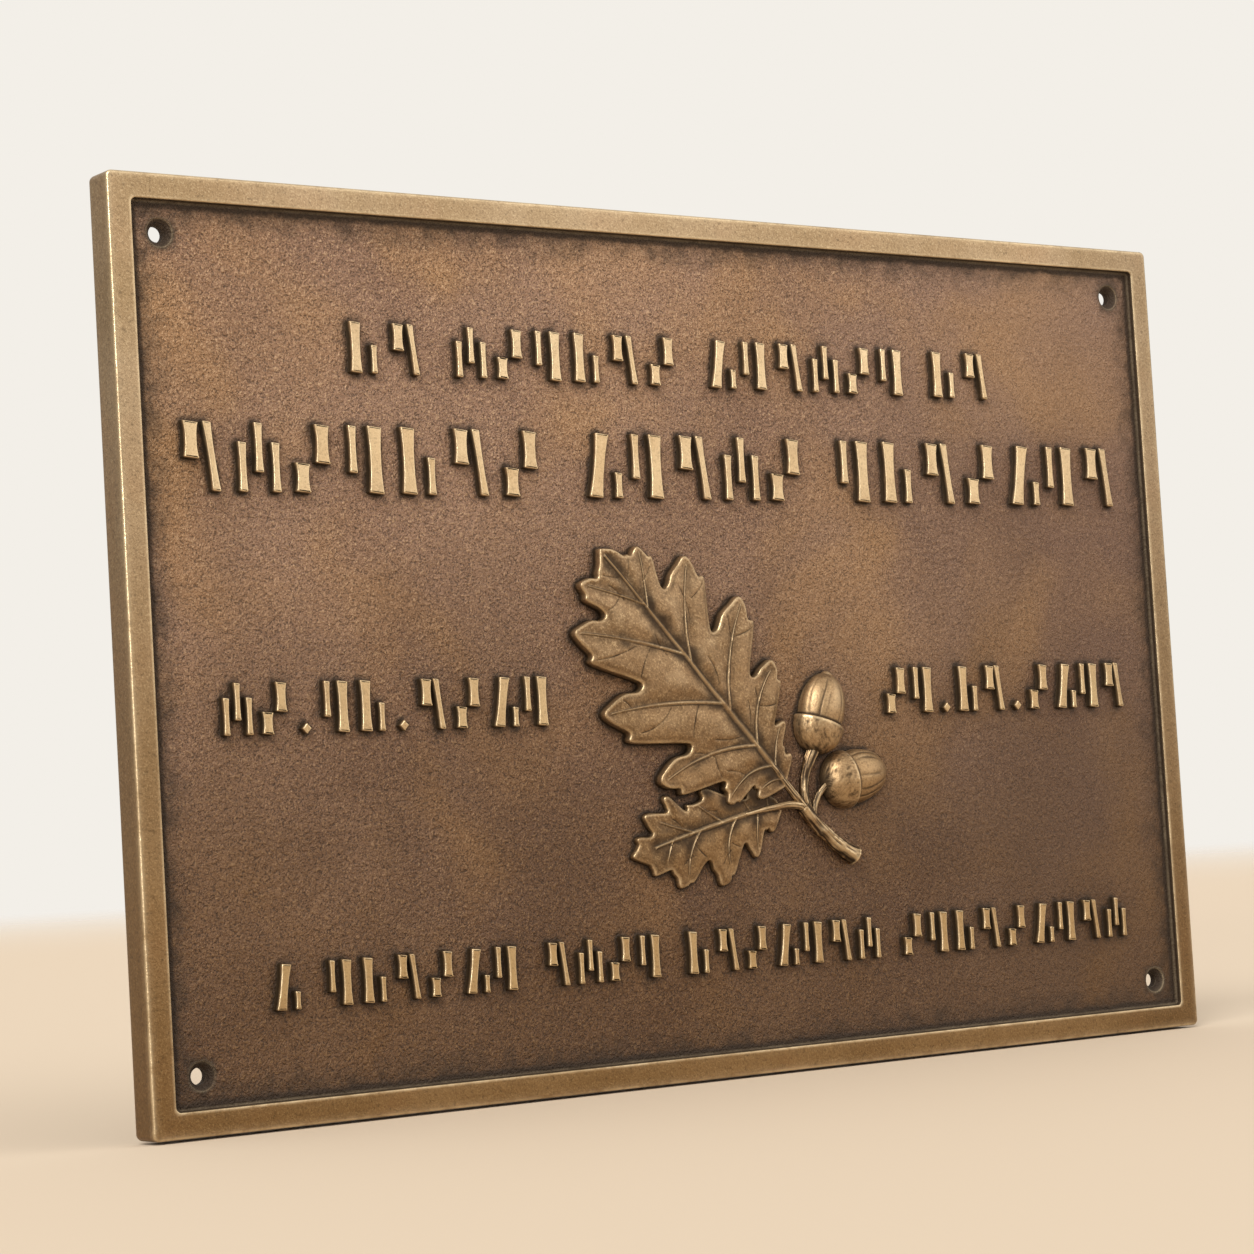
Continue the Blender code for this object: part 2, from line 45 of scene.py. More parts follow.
# The casting's own sizes, in mm, the same as the solid's
plate = {
    "halfWidth": 152.4, "halfHeight": 101.6, "edge": 8.7, "border": 5.7, "recess": 1.8,
    "web": 3.6, "backRim": 7.0, "rib": 8.0,
    "holeInsetX": 12.9, "holeInsetZ": 12.5, "holeRadius": 1.8, "sinkRadius": 3.2, "holeBlock": 4.8,
    "cornerRadius": 1.5, "frontRound": 0.7, "backRound": 1.2, "innerRound": 0.28,
    "footFillet": 0.75, "pocketCorner": 3.0, "pocketDraft": 0.6,
    "gridStep": 1.05, "grainDepth": 0.05,
}
fieldY = plate["recess"] - plate["edge"]
fieldHalfX = plate["halfWidth"] - plate["border"]
fieldHalfZ = plate["halfHeight"] - plate["border"]


def valueNoise(x, z, cell, seed):
    # random heights on a square lattice, eased between the four corners of each cell
    lattice = np.random.default_rng(seed).uniform(-1, 1, (211, 223))
    gx, gz = x / cell + 1000.37, z / cell + 1000.71
    ix, iz = np.floor(gx).astype(int), np.floor(gz).astype(int)
    fx, fz = gx - ix, gz - iz
    fx, fz = fx * fx * (3 - 2 * fx), fz * fz * (3 - 2 * fz)
    low = lattice[ix % 211, iz % 223] * (1 - fx) + lattice[(ix + 1) % 211, iz % 223] * fx
    high = lattice[ix % 211, (iz + 1) % 223] * (1 - fx) + lattice[(ix + 1) % 211, (iz + 1) % 223] * fx
    return low * (1 - fz) + high * fz


def ease(low, high, value):
    # 0 below the low end, 1 above the high end and an S-shaped cubic between them
    t = np.clip((value - low) / (high - low), 0, 1)
    return t * t * (3 - 2 * t)


def bell(distance, width):
    # 1 at no distance, falling away with the square of distance over width
    return np.exp(-(distance / width) ** 2)


def direction(angle):
    # the unit step along an angle in degrees, and the one a quarter turn on from it
    turn = math.radians(angle)
    return np.array([math.cos(turn), math.sin(turn)]), np.array([-math.sin(turn), math.cos(turn)])


def atDepth(flat, depth):
    # flat points (across, up) put into space at one depth, or at a depth each
    return np.stack([flat[..., 0], np.broadcast_to(depth, flat.shape[:-1]), flat[..., 1]], -1)


def readAlong(rows, count):
    # rows of numbers read off at evenly spaced steps, straight between one row and the next
    at = np.linspace(0, len(rows) - 1, count)
    return np.stack([np.interp(at, np.arange(len(rows)), column) for column in rows.T], 1)


def nearest(points, starts, ends, batch=1500):
    # shortest distance from each flat point to a set of straight pieces, worked out batch by batch
    way = ends - starts
    length = np.maximum((way ** 2).sum(1), 1e-12)
    best = np.empty(len(points))
    for first in range(0, len(points), batch):
        gap = points[first:first + batch, None, :] - starts[None]
        share = np.clip((gap * way[None]).sum(2) / length[None], 0, 1)
        off = gap - share[..., None] * way[None]
        best[first:first + batch] = np.sqrt((off ** 2).sum(2).min(1))
    return best


def insideLoop(points, loop, batch=4000):
    # a point is inside when a level line from it crosses the loop an odd number of times
    a, b = loop, np.roll(loop, -1, 0)
    inside = np.empty(len(points), bool)
    for first in range(0, len(points), batch):
        p = points[first:first + batch, None, :]
        spans = (a[None, :, 1] > p[..., 1]) != (b[None, :, 1] > p[..., 1])
        slope = (b[None, :, 0] - a[None, :, 0]) / np.where(b[None, :, 1] == a[None, :, 1], 1e-9,
                                                           b[None, :, 1] - a[None, :, 1])
        crossing = a[None, :, 0] + (p[..., 1] - a[None, :, 1]) * slope
        inside[first:first + batch] = (spans & (p[..., 0] < crossing)).sum(1) % 2 == 1
    return inside


def gridFaces(rows, columns, first=0, closed=False):
    # four-cornered faces between the rows of a grid whose points are numbered row by row
    r, c = np.meshgrid(np.arange(rows - 1), np.arange(columns if closed else columns - 1), indexing="ij")
    here, there = r * columns + c, r * columns + (c + 1) % columns
    return np.stack([here, there, there + columns, here + columns], -1).reshape(-1, 4) + first


def meshPiece(name, points, faces, marks, material, sharp=38):
    # points in mm (across, depth, up); marks are named values from 0 to 1, one for each point
    mesh = bpy.data.meshes.new(name)
    mesh.from_pydata((np.asarray(points) * mm).tolist(), [], [f for block in faces for f in np.asarray(block).tolist()])
    for mark, values in marks.items():
        layer = mesh.attributes.new(mark, "FLOAT", "POINT")
        layer.data.foreach_set("value", np.asarray(values, np.float32))
    form = bmesh.new()
    form.from_mesh(mesh)
    bmesh.ops.remove_doubles(form, verts=form.verts, dist=0.000002)
    bmesh.ops.dissolve_degenerate(form, dist=0.0000005, edges=form.edges)
    bmesh.ops.recalc_face_normals(form, faces=form.faces)
    form.to_mesh(mesh)
    form.free()
    mesh.polygons.foreach_set("use_smooth", np.ones(len(mesh.polygons), bool))
    mesh.set_sharp_from_angle(angle=math.radians(sharp))
    mesh.materials.append(material)
    piece = bpy.data.objects.new(name, mesh)
    scene.collection.objects.link(piece)
    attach(piece, "root")
    triangles = sum(len(p.vertices) - 2 for p in mesh.polygons)
    print(f"{name}: {triangles} triangles")
    return piece


def loopEdges(count, first=0):
    # each point of a closed loop joined to the next
    n = np.arange(count)
    return np.stack([first + n, first + (n + 1) % count], 1)


def triangulate(flat, edges, faces=(), kind=0, tolerance=1e-7):
    # Delaunay triangles between flat points that keep the given edges, and where each point came from
    found = delaunay_2d_cdt([Vector(p) for p in flat.tolist()], edges.tolist(), [list(f) for f in faces],
                            kind, tolerance)
    return np.array([tuple(p) for p in found[0]]), np.array(found[2]), found[3]


def fillBetween(outer, holes):
    # triangles of the flat region inside the outer loop and outside the hole loops
    loops = [outer] + holes
    firsts = np.cumsum([0] + [len(loop) for loop in loops])
    edges = np.concatenate([loopEdges(len(loop), first) for loop, first in zip(loops, firsts)])
    places, triangles, _ = triangulate(np.concatenate(loops), edges)
    middles = places[triangles].mean(1)
    keep = insideLoop(middles, outer)
    for hole in holes:
        keep &= ~insideLoop(middles, hole)
    return places, triangles[keep]


print("shader groups")


def tone(red, green, blue):
    # a colour as seen on a screen, made linear
    c = np.array([red, green, blue]) / 255
    return (*np.where(c <= 0.04045, c / 12.92, ((c + 0.055) / 1.055) ** 2.4).tolist(), 1.0)


def feed(tree, socket, value):
    # a link where the value is another node's output, and otherwise a plain setting
    if hasattr(value, "is_linked"):
        tree.links.new(value, socket)
    else:
        socket.default_value = value


def newGroup(name, inputs, outputs):
    # an empty shader group; inputs are numbers or vectors with a first value, outputs are numbers
    group = bpy.data.node_groups.new(name, "ShaderNodeTree")
    for socket, value in inputs.items():
        kind = "NodeSocketFloat" if isinstance(value, float) else "NodeSocketVector"
        entry = group.interface.new_socket(name=socket, in_out="INPUT", socket_type=kind)
        if value is not None:
            entry.default_value = value
    for socket in outputs:
        group.interface.new_socket(name=socket, in_out="OUTPUT", socket_type="NodeSocketFloat")
    return group, group.nodes.new("NodeGroupInput").outputs, group.nodes.new("NodeGroupOutput").inputs


class Bench:
    # short ways to add and join nodes in one tree
    def __init__(self, tree):
        self.tree = tree

    def put(self, kind, links=None, **settings):
        node = self.tree.nodes.new(kind)
        for key, value in settings.items():
            setattr(node, key, value)
        for key, value in (links or {}).items():
            feed(self.tree, node.inputs[key], value)
        return node

    def maths(self, operation, a, b=0.0, c=0.0):
        return self.put("ShaderNodeMath", {0: a, 1: b, 2: c}, operation=operation).outputs[0]

    def times(self, a, b):
        return self.maths("MULTIPLY", a, b)

    def timesPlus(self, a, b, c):
        return self.maths("MULTIPLY_ADD", a, b, c)

    def vector(self, operation, a, b):
        return self.put("ShaderNodeVectorMath", {0: a, 1: b}, operation=operation).outputs[0]

    def noise(self, place, scale, detail=3.0, rough=0.55, distortion=0.0):
        node = self.put("ShaderNodeTexNoise", {"Vector": place, "Scale": scale, "Detail": detail,
                                               "Roughness": rough, "Distortion": distortion})
        return node.outputs["Fac"]

    def between(self, value, low, high, toLow=0.0, toHigh=1.0):
        node = self.put("ShaderNodeMapRange", {"Value": value, "From Min": low, "From Max": high,
                                               "To Min": toLow, "To Max": toHigh},
                        interpolation_type="SMOOTHSTEP")
        return node.outputs["Result"]

    def mixed(self, share, a, b, blend="MIX"):
        return self.put("ShaderNodeMix", {0: share, 6: a, 7: b}, data_type="RGBA", blend_type=blend).outputs[2]

    def mark(self, name):
        return self.put("ShaderNodeAttribute", attribute_name=name, attribute_type="GEOMETRY").outputs["Fac"]


def sandGroup():
    # sand-cast skin: wrinkles, pebbles, fine and coarse grain summed; pits and glints are its low and high ends
    group, enter, leave = newGroup("sandCast", {"Vector": None, "Size": 900.0}, ("Height", "Pits", "Glints"))
    b = Bench(group)
    place, size = enter["Vector"], enter["Size"]
    wrinkles = b.noise(place, size, 2.0, 0.55, 1.3)
    pebbles = b.put("ShaderNodeTexVoronoi", {"Vector": place, "Scale": b.times(size, 0.8)}, feature="F1")
    fine = b.noise(place, b.times(size, 2.3), 1.0, 0.5, 0.6)
    coarse = b.noise(place, b.times(size, 0.3), 1.0, 0.5)
    height = b.timesPlus(b.maths("SUBTRACT", 1.0, pebbles.outputs["Distance"]), 0.22, wrinkles)
    height = b.timesPlus(coarse, 0.25, b.timesPlus(fine, 0.30, height))
    speck = b.timesPlus(fine, 0.95, b.times(wrinkles, 0.65))
    feed(group, leave["Height"], height)
    feed(group, leave["Pits"], b.between(speck, 0.78, 0.60))
    feed(group, leave["Glints"], b.between(speck, 0.84, 1.02))
    return group


def cloudGroup():
    # slow patches of patina: a broad one, a stained one and fine freckles, each a noise cut between two levels
    group, enter, leave = newGroup("patinaClouds", {"Vector": None, "Size": 20.0}, ("Broad", "Stain", "Freckles"))
    b = Bench(group)
    place, size = enter["Vector"], enter["Size"]
    shifted = b.vector("ADD", place, (0.31, 0.17, 0.53))
    feed(group, leave["Broad"], b.between(b.noise(place, size, 2.5, 0.5, 0.3), 0.34, 0.68))
    feed(group, leave["Stain"], b.between(b.noise(shifted, b.times(size, 1.7), 2.5, 0.55, 0.5), 0.46, 0.76))
    feed(group, leave["Freckles"], b.between(b.noise(shifted, b.times(size, 40.0), 2.0, 0.6), 0.56, 0.74))
    return group


def wearPatinaShadeGroup():
    # where handling has rubbed the metal bright, and where dark patina and painted shade stay, both broken up by noise
    group, enter, leave = newGroup("wearAndGrime", {"Vector": None, "Wear": 0.0, "Grime": 0.0, "Size": 240.0},
                                   ("Bright", "Dark"))
    b = Bench(group)
    place, size, wear, patinaAndShade = (enter[key] for key in ("Vector", "Size", "Wear", "Grime"))
    patch = b.noise(place, size, 4.0, 0.62)
    slow = b.noise(place, b.times(size, 0.2), 3.0, 0.5)
    bright = b.times(wear, b.between(patch, 0.30, 0.58, 0.45, 1.0))
    lifted = b.timesPlus(b.maths("SUBTRACT", patch, 0.5), 0.9, patinaAndShade)
    feed(group, leave["Bright"], b.times(bright, b.between(slow, 0.30, 0.62, 0.55, 1.0)))
    feed(group, leave["Dark"], b.times(b.between(lifted, 0.10, 0.85), b.between(patinaAndShade, 0.0, 0.15)))
    return group


def brushGroup():
    # faint streaks left by filing: noise drawn out along one direction
    group, enter, leave = newGroup("fileStreaks", {"Vector": None, "Stretch": (1.0, 1.0, 1.0)}, ("Streaks", "Soft"))
    b = Bench(group)
    drawn = b.vector("MULTIPLY", enter["Vector"], enter["Stretch"])
    feed(group, leave["Streaks"], b.noise(drawn, 1.0, 3.0, 0.6))
    feed(group, leave["Soft"], b.noise(b.vector("MULTIPLY", drawn, (0.3, 0.3, 0.3)), 1.0, 2.0, 0.5))
    return group


groups = {"sand": sandGroup(), "clouds": cloudGroup(), "wear": wearPatinaShadeGroup(), "brush": brushGroup()}


def useGroup(b, key, **links):
    # one of the groups above placed in a material with that material's own values
    node = b.put("ShaderNodeGroup")
    node.node_tree = groups[key]
    for name, value in links.items():
        feed(b.tree, node.inputs[name], value)
    return node.outputs


def bronze(name, look):
    # one casting in satin bronze: dark patina and painted shade in the hollows, rubbed metal on what stands proud
    material = bpy.data.materials.new(name)
    material.use_nodes = True
    tree = material.node_tree
    shader = tree.nodes["Principled BSDF"].inputs
    b = Bench(tree)

    def laid(key, mask, under, share=None, blend="MIX"):
        # one tone of the look laid over another by a mask
        return b.mixed(mask if share is None else b.times(mask, share), under, tone(*look[key]), blend)

    place = b.put("ShaderNodeTexCoord").outputs["Object"]
    masks = useGroup(b, "wear", Vector=place, Wear=b.mark("wear"), Grime=b.mark("patinaAndShade"), Size=look["breakup"])
    clouds = useGroup(b, "clouds", Vector=place, Size=look["cloudSize"])
    sand = useGroup(b, "sand", Vector=place, Size=look["sandSize"])
    streaks = useGroup(b, "brush", Vector=place, Stretch=look["streak"])
    colour = laid("metalDeep", clouds["Broad"], tone(*look["metal"]))
    colour = laid("stain", clouds["Stain"], colour, look["stainShare"])
    colour = laid("metalDeep", b.between(streaks["Streaks"], 0.45, 0.75), colour, look["streakShare"])
    colour = laid("dark", clouds["Freckles"], colour, look["freckleShare"])
    colour = laid("dark", sand["Pits"], colour, look["speckShare"])
    colour = laid("worn", sand["Glints"], colour, look["speckShare"])
    rough = b.timesPlus(streaks["Soft"], 0.12, look["rough"] - 0.06)
    height = b.times(sand["Height"], look["skinDepth"])
    metal = look["metallic"]
    # painted shade: the colour grows darker and warmer towards the foot of the plaque, standing for light that falls
    # off downwards; it is also darker at its right end
    apart = b.put("ShaderNodeSeparateXYZ", {0: place}).outputs
    drift = b.timesPlus(b.maths("SUBTRACT", clouds["Broad"], 0.5), 0.03, apart["Z"])
    footShadePart, rightPart = b.between(drift, 0.105, -0.105), b.between(apart["X"], -0.02, 0.17)
    colour = laid("footShadeTint", footShadePart, colour, blend="MULTIPLY")
    colour = laid("endTint", b.between(apart["X"], 0.10, 0.152), colour, blend="MULTIPLY")
    if "field" in look:
        # the sunk field keeps its cast skin under a brown patina
        field = b.mark("field")
        stains = useGroup(b, "clouds", Vector=place, Size=look["fieldCloudSize"])
        brown = laid("fieldDeep", stains["Broad"], tone(*look["field"]))
        brown = laid("fieldOchre", stains["Stain"], brown, look["ochreShare"])
        brown = laid("dark", sand["Pits"], brown, b.between(rightPart, 0.0, 1.0, *look["pitShares"]))
        brown = laid("glint", sand["Glints"], brown, b.between(rightPart, 0.0, 1.0, *look["glintShares"]))
        # painted shade towards the foot of the field, and the field darker at its right end
        brown = laid("fieldFootShadeTint", footShadePart, brown, blend="MULTIPLY")
        brown = laid("rightTint", rightPart, brown, blend="MULTIPLY")
        colour = b.mixed(field, colour, brown)
        rough = b.timesPlus(field, look["fieldRough"] - look["rough"], rough)
        depth = b.times(sand["Height"], b.between(rightPart, 0.0, 1.0, 1.0, 0.6))
        height = b.timesPlus(b.times(field, depth), look["fieldSkin"], height)
        metal = b.timesPlus(field, look["fieldMetallic"] - look["metallic"], look["metallic"])
    # the dark mask lays patina with painted shade into the hollows and at the feet of the relief
    colour = laid("dark", masks["Dark"], colour, look["darkShare"])
    colour = laid("worn", masks["Bright"], colour, look["wearShare"])
    rough = b.timesPlus(masks["Bright"], -0.14, b.timesPlus(masks["Dark"], 0.16, rough))
    bump = b.put("ShaderNodeBump", {"Height": height, "Distance": 0.001, "Strength": 1.0})
    feed(tree, shader["Base Color"], colour)
    feed(tree, shader["Roughness"], rough)
    feed(tree, shader["Normal"], bump.outputs["Normal"])
    feed(tree, shader["Metallic"], metal)
    return material


# tones as seen on a screen; shares from 0 to 1; pattern sizes in features to the metre
castLook = {
    "metal": (170, 147, 117), "metalDeep": (152, 127, 94), "stain": (164, 135, 103), "dark": (50, 39, 29),
    # the foot tones are painted shade, multiplied in more strongly towards the foot of the plaque
    "worn": (228, 206, 168), "footShadeTint": (192, 174, 144), "endTint": (232, 231, 230),
    "stainShare": 0.40, "streakShare": 0.30, "freckleShare": 0.25, "speckShare": 0.22,
    "streak": (60.0, 900.0, 60.0), "breakup": 240.0, "cloudSize": 26.0, "sandSize": 900.0,
    "rough": 0.42, "skinDepth": 0.06, "metallic": 0.86, "darkShare": 0.92, "wearShare": 0.72,
}
bodyLook = {
    **castLook, "stainShare": 0.62, "streakShare": 0.48, "freckleShare": 0.36, "sandSize": 1000.0,
    "field": (156, 124, 102), "fieldDeep": (132, 101, 81), "fieldOchre": (172, 132, 88), "ochreShare": 0.65,
    # the field's foot tone is painted shade as well
    "glint": (198, 166, 132), "fieldFootShadeTint": (163, 151, 126), "rightTint": (228, 229, 233),
    "pitShares": (0.62, 0.40), "glintShares": (0.62, 0.30),      # at the left and at the right end
    "fieldCloudSize": 13.0, "fieldRough": 0.56, "fieldSkin": 0.75, "fieldMetallic": 0.45,
}
strokeLook = {
    # the strokes' foot tone is painted shade too
    **castLook, "metal": (214, 190, 152), "metalDeep": (196, 168, 128), "footShadeTint": (206, 194, 172),
    "freckleShare": 0.18, "cloudSize": 60.0, "skinDepth": 0.04,
}
leafLook = {
    **castLook, "metal": (164, 138, 108), "metalDeep": (138, 112, 82), "stain": (150, 120, 90),
    "worn": (230, 204, 162), "speckShare": 0.30, "freckleShare": 0.2, "cloudSize": 75.0, "rough": 0.43,
    "skinDepth": 0.085,
}
nutLook = {
    **leafLook, "metal": (202, 178, 146), "metalDeep": (176, 148, 113), "rough": 0.41, "skinDepth": 0.05,
    "wearShare": 0.65,
}
twigLook = {
    **leafLook, "metal": (170, 145, 114), "metalDeep": (136, 110, 80), "rough": 0.38, "skinDepth": 0.06,
}

print("oak spray outlines")

spray = {"jointX": 0.170 * fieldHalfX, "jointZ": -0.415 * fieldHalfZ}
joint = np.array([spray["jointX"], spray["jointZ"]])

# Lobes as in the solid: vein root on the rib, tip and next bay, in hundredths of the leaf's length
bigLeaf = {
    "length": 83.4, "angle": 132.2, "lift": 2.4, "bow": (50, 0), "apex": 3.2, "tooth": 0.15,
    "firstBays": ((92.5, 5), (94.5, -6)),
    "right": ((77, (92, 10), (77, 8.5)), (56, (79, 20.5), (57, 12.5)), (37, (58, 26.5), (38.5, 13.5)),
              (23.5, (37.5, 22), (23.5, 9.5)), (16, (22.5, 12.5), (17.5, 7)), (12, (14.5, 7.5), (10, 1.2))),
    "left": ((79, (97.5, -12), (85.5, -12)), (60, (89.5, -23), (63.5, -17)), (40, (67, -32), (40, -17)),
             (23, (41, -31.5), (24.5, -15.5)), (16.5, (20.5, -19), (16.5, -8.5)), (11.5, (14, -10), (9, -1.2))),
    "ribEnd": 97.0, "ribWidth": (1.05, 0.26), "ribHeight": 0.66, "crown": 0.50,
    # raised veins: root share on the rib, end (along, across), sideways bow, width
    "veins": ((77.5, (90.2, 9.1), 0.2, 0.42), (56.5, (76.5, 18.6), -1.5, 0.55), (37.5, (56, 25), -2.2, 0.62),
              (24, (35.6, 18.6), -2.4, 0.60), (15, (22.3, 9.8), -0.8, 0.42),
              (79, (95.2, -10.2), 0.2, 0.45), (60, (88, -21.5), 0.7, 0.62), (41, (65.5, -30), 1.3, 0.72),
              (24.5, (39.5, -29), 2.3, 0.72), (16.5, (20.8, -17), 2.2, 0.55), (11, (14.6, -8.5), 1.2, 0.40)),
    # fine cut veinlets: start and end (along, across) and bow
    "veinlets": (((73.2, -11.3), (79, -22.7), -0.5), ((52.7, -14.4), (55.1, -26.8), -1.3),
                 ((69.3, 13.4), (69.9, 20.2), 0.3), ((51.5, 16.4), (48.6, 24.2), 0.4), ((49, 12.6), (57, 19), 0.5),
                 ((66, 9.0), (74.5, 12.5), 0.5), ((84, 4.5), (85.0, 8.5), 0.2), ((86, -5.0), (86.5, -11), -0.4),
                 ((69, -8.3), (66, -15.5), 0.5), ((61, -24.2), (66.5, -25), 0.4), ((46.5, -6.8), (42, -14.5), 0.6),
                 ((33, -12.5), (27.5, -15.5), 0.5), ((32.5, -13.0), (39.5, -19), 0.6), ((31.5, 9), (28.0, 13.5), 0.3),
                 ((31.0, 8.0), (36.5, 11.6), 0.3), ((20.6, -8.5), (27, -13), 0.5), ((84.5, -4.2), (90.5, -5.0), 0.3),
                 ((88, 1.0), (91.5, 4.6), 0.2), ((90, -1.0), (94, -4.6), -0.2), ((64, -4.6), (71, -3.6), -0.5),
                 ((46, 3.0), (54, 5.4), 0.5), ((30, 2.2), (35.5, 6.8), 0.4), ((30, -2.0), (36, -9.5), -0.5)),
}
smallLeaf = {
    "length": 51.9, "angle": 190.4, "lift": 1.4, "bow": (8, 8.5), "apex": 1.4, "tooth": 0.11,
    "firstBays": ((96, 3), (90.5, -6)),
    "right": ((85, (96, 6.5), (86, 7.5)), (75, (89.5, 15.5), (75.5, 15.5)), (63, (77, 21), (64.5, 14)),
              (51, (56, 20), (41, 15)), (36, (31, 15.5), (14, 7))),
    "left": ((86, (90, -11), (79.5, -10.5)), (73, (77.5, -19.5), (57.5, -11.5)), (55, (54.5, -24), (35.5, -8.5)),
             (44, (32.5, -16), (23.5, -5)), (34, (20.5, -7), (12, 1.5))),
    "ribEnd": 92.0, "ribWidth": (0.95, 0.28), "ribHeight": 0.60, "crown": 0.42,
    "veins": ((66, (62.2, 17.9), -0.6, 0.50), (78, (81.1, 11.3), -0.3, 0.46), (51, (34.6, 13.4), 0.3, 0.44),
              (40, (20.2, 12.1), 0.3, 0.40), (59, (47.5, -15), 2.6, 0.52), (75.5, (71.5, -14), 2.0, 0.50),
              (47, (30, -11.5), 0.6, 0.42), (86.5, (82, -7), 0.4, 0.36)),
    "veinlets": (((50, 9.6), (57.5, 11), 0.3), ((70, 6.6), (74.5, 11.5), 0.3), ((44, -6.5), (39.5, -9.5), 0.3),
                 ((64.5, -3.0), (60.5, -9), 0.4), ((45.5, -9.5), (51.5, -14.5), 0.3), ((67.5, -7), (73, -9.5), 0.3)),
}
leafEdge = {"lobeRound": 2.2, "bayRound": 1.3, "roundShare": 0.16, "bayShare": 0.22, "toothNotch": 0.31,
            "toothPlace": 0.36, "toothlessSide": 8.5, "flankSwell": 0.12, "spacing": 0.42}


def leafAxes(leaf):
    # the leaf's own axes on the face: along its rib, and across it
    along, aside = direction(leaf["angle"])
    return along, -aside


def onFace(leaf, pairs):
    # leaf measures (along, across) carried to their place on the face
    along, across = leafAxes(leaf)
    return joint + pairs[:, :1] * along + pairs[:, 1:] * across



def onRib(leaf, share):
    # the rib is a parabola from the joint to the apex, drawn towards its bow
    share = np.atleast_1d(share)[:, None]
    bow = np.array(leaf["bow"], float)
    return (bow * 2 * share * (1 - share) + np.array([100.0, 0.0]) * share ** 2) * leaf["length"] / 100


def catmullRom(points, steps):
    # a smooth curve through points: each stretch is a cubic of its two ends and their neighbours
    p = np.concatenate([points[:1], points, points[-1:]])
    t = (np.arange(steps) / steps)[None, :, None]
    a, b, c, d = p[:-3, None], p[1:-2, None], p[2:-1, None], p[3:, None]
    curve = b + ((c - a) * t + (2 * a - 5 * b + 4 * c - d) * t ** 2 + (3 * b - a - 3 * c + d) * t ** 3) / 2
    return np.concatenate([curve.reshape(-1, 2), points[-1:]])


def leafSide(leaf, side):
    # one side from the apex to the base: each lobe has a rounded end, a tooth below it and a round bay before it
    unit = leaf["length"] / 100
    apex = np.array([100.0, 0.0]) * unit
    rows = leaf["right" if side > 0 else "left"]
    bay = np.array(leaf["firstBays"][0 if side > 0 else 1]) * unit
    points = [apex, np.array([100 - leaf["apex"], side * leaf["apex"]]) * unit]
    lastTip, lastOut = apex, np.array([1.0, 0.0])
    e = leafEdge
    for root, tip, nextBay in rows:
        root, tip, nextBay = onRib(leaf, root / 100)[0], np.array(tip) * unit, np.array(nextBay) * unit
        out = (tip - root) / np.hypot(*(tip - root))
        chord, crossing = nextBay - tip, tip - lastTip
        span = np.hypot(*chord)
        depth = abs(crossing[0] * (bay - tip)[1] - crossing[1] * (bay - tip)[0]) / np.hypot(*crossing)
        lobeRound = min(e["lobeRound"], e["roundShare"] * span)
        bayRound = min(e["bayRound"], e["bayShare"] * depth)
        mouth = (lastOut + out) / np.hypot(*(lastOut + out))
        aside = np.array([mouth[1], -mouth[0]]) * side
        forward = np.array([out[1], -out[0]]) * side
        wall = bay + (mouth - aside) * bayRound
        shoulder = tip + (forward - out) * lobeRound
        flank = (wall + shoulder) / 2 + forward * e["flankSwell"] * np.hypot(*(shoulder - wall))
        points += [bay + (mouth + aside) * bayRound, bay, wall, flank, shoulder, tip, tip - (forward + out) * lobeRound]
        if span > e["toothlessSide"]:
            outward = np.array([chord[1], -chord[0]]) * side * leaf["tooth"]
            points += [tip + chord * e["toothNotch"] + outward / 2, tip + chord * e["toothPlace"] + outward]
        lastTip, lastOut, bay = tip, out, nextBay
    points.append(bay)
    return catmullRom(np.array(points), 10)


def evenly(loop, spacing):
    # the same closed loop with its points an even distance apart
    ring = np.concatenate([loop, loop[:1]])
    length = np.concatenate([[0], np.cumsum(np.hypot(*np.diff(ring, axis=0).T))])
    count = int(length[-1] / spacing)
    at = np.arange(count) * length[-1] / count
    return np.stack([np.interp(at, length, ring[:, 0]), np.interp(at, length, ring[:, 1])], 1)


def softened(loop, times, share=0.25):
    # each point drawn towards the middle of its neighbours, as often as asked
    for _ in range(times):
        loop = loop * (1 - 2 * share) + (np.roll(loop, 1, 0) + np.roll(loop, -1, 0)) * share
    return loop


def leafOutline(leaf):
    # both sides joined at the apex, spaced evenly and softened twice
    right, left = leafSide(leaf, 1), leafSide(leaf, -1)
    loop = np.concatenate([right, left[:0:-1]])
    return onFace(leaf, softened(evenly(loop, leafEdge["spacing"]), 2))



def bent(start, end, bow, count):
    # a parabola between two points, its middle moved sideways by the bow
    t = np.linspace(0, 1, count)[:, None]
    way = end - start
    side = np.array([-way[1], way[0]]) / np.hypot(*way)
    return start + way * t + side * bow * 4 * t * (1 - t)


bigOutline, smallOutline = leafOutline(bigLeaf), leafOutline(smallLeaf)

acorn = {
    "length": 20.7, "cup": 7.5, "cupRadius": 7.1, "nutRadius": 6.65, "flatten": 0.82, "lift": 0.4, "nub": 0.6,
    "grooves": 13, "sunk": 1.6, "lipAt": 0.86,      # sunk: how far the nut starts inside the cup
    "places": {"upright": (4.3, 12.8, 71.0), "level": (6.8, 5.2, 8.8)},      # across, up, angle
}


def acornFootprint(across, up, angle):
    # the oval that an acorn covers on the field, for the dark ring of patina and painted contact shade around it
    t = np.linspace(0, 2 * np.pi, 40, endpoint=False)
    out, aside = direction(angle)
    middle = joint + np.array([across, up]) + out * acorn["length"] * 0.47
    return middle + np.outer(np.cos(t) * acorn["length"] * 0.5, out) \
        + np.outer(np.sin(t) * acorn["cupRadius"] * 0.93, aside)



print("stroke rows")

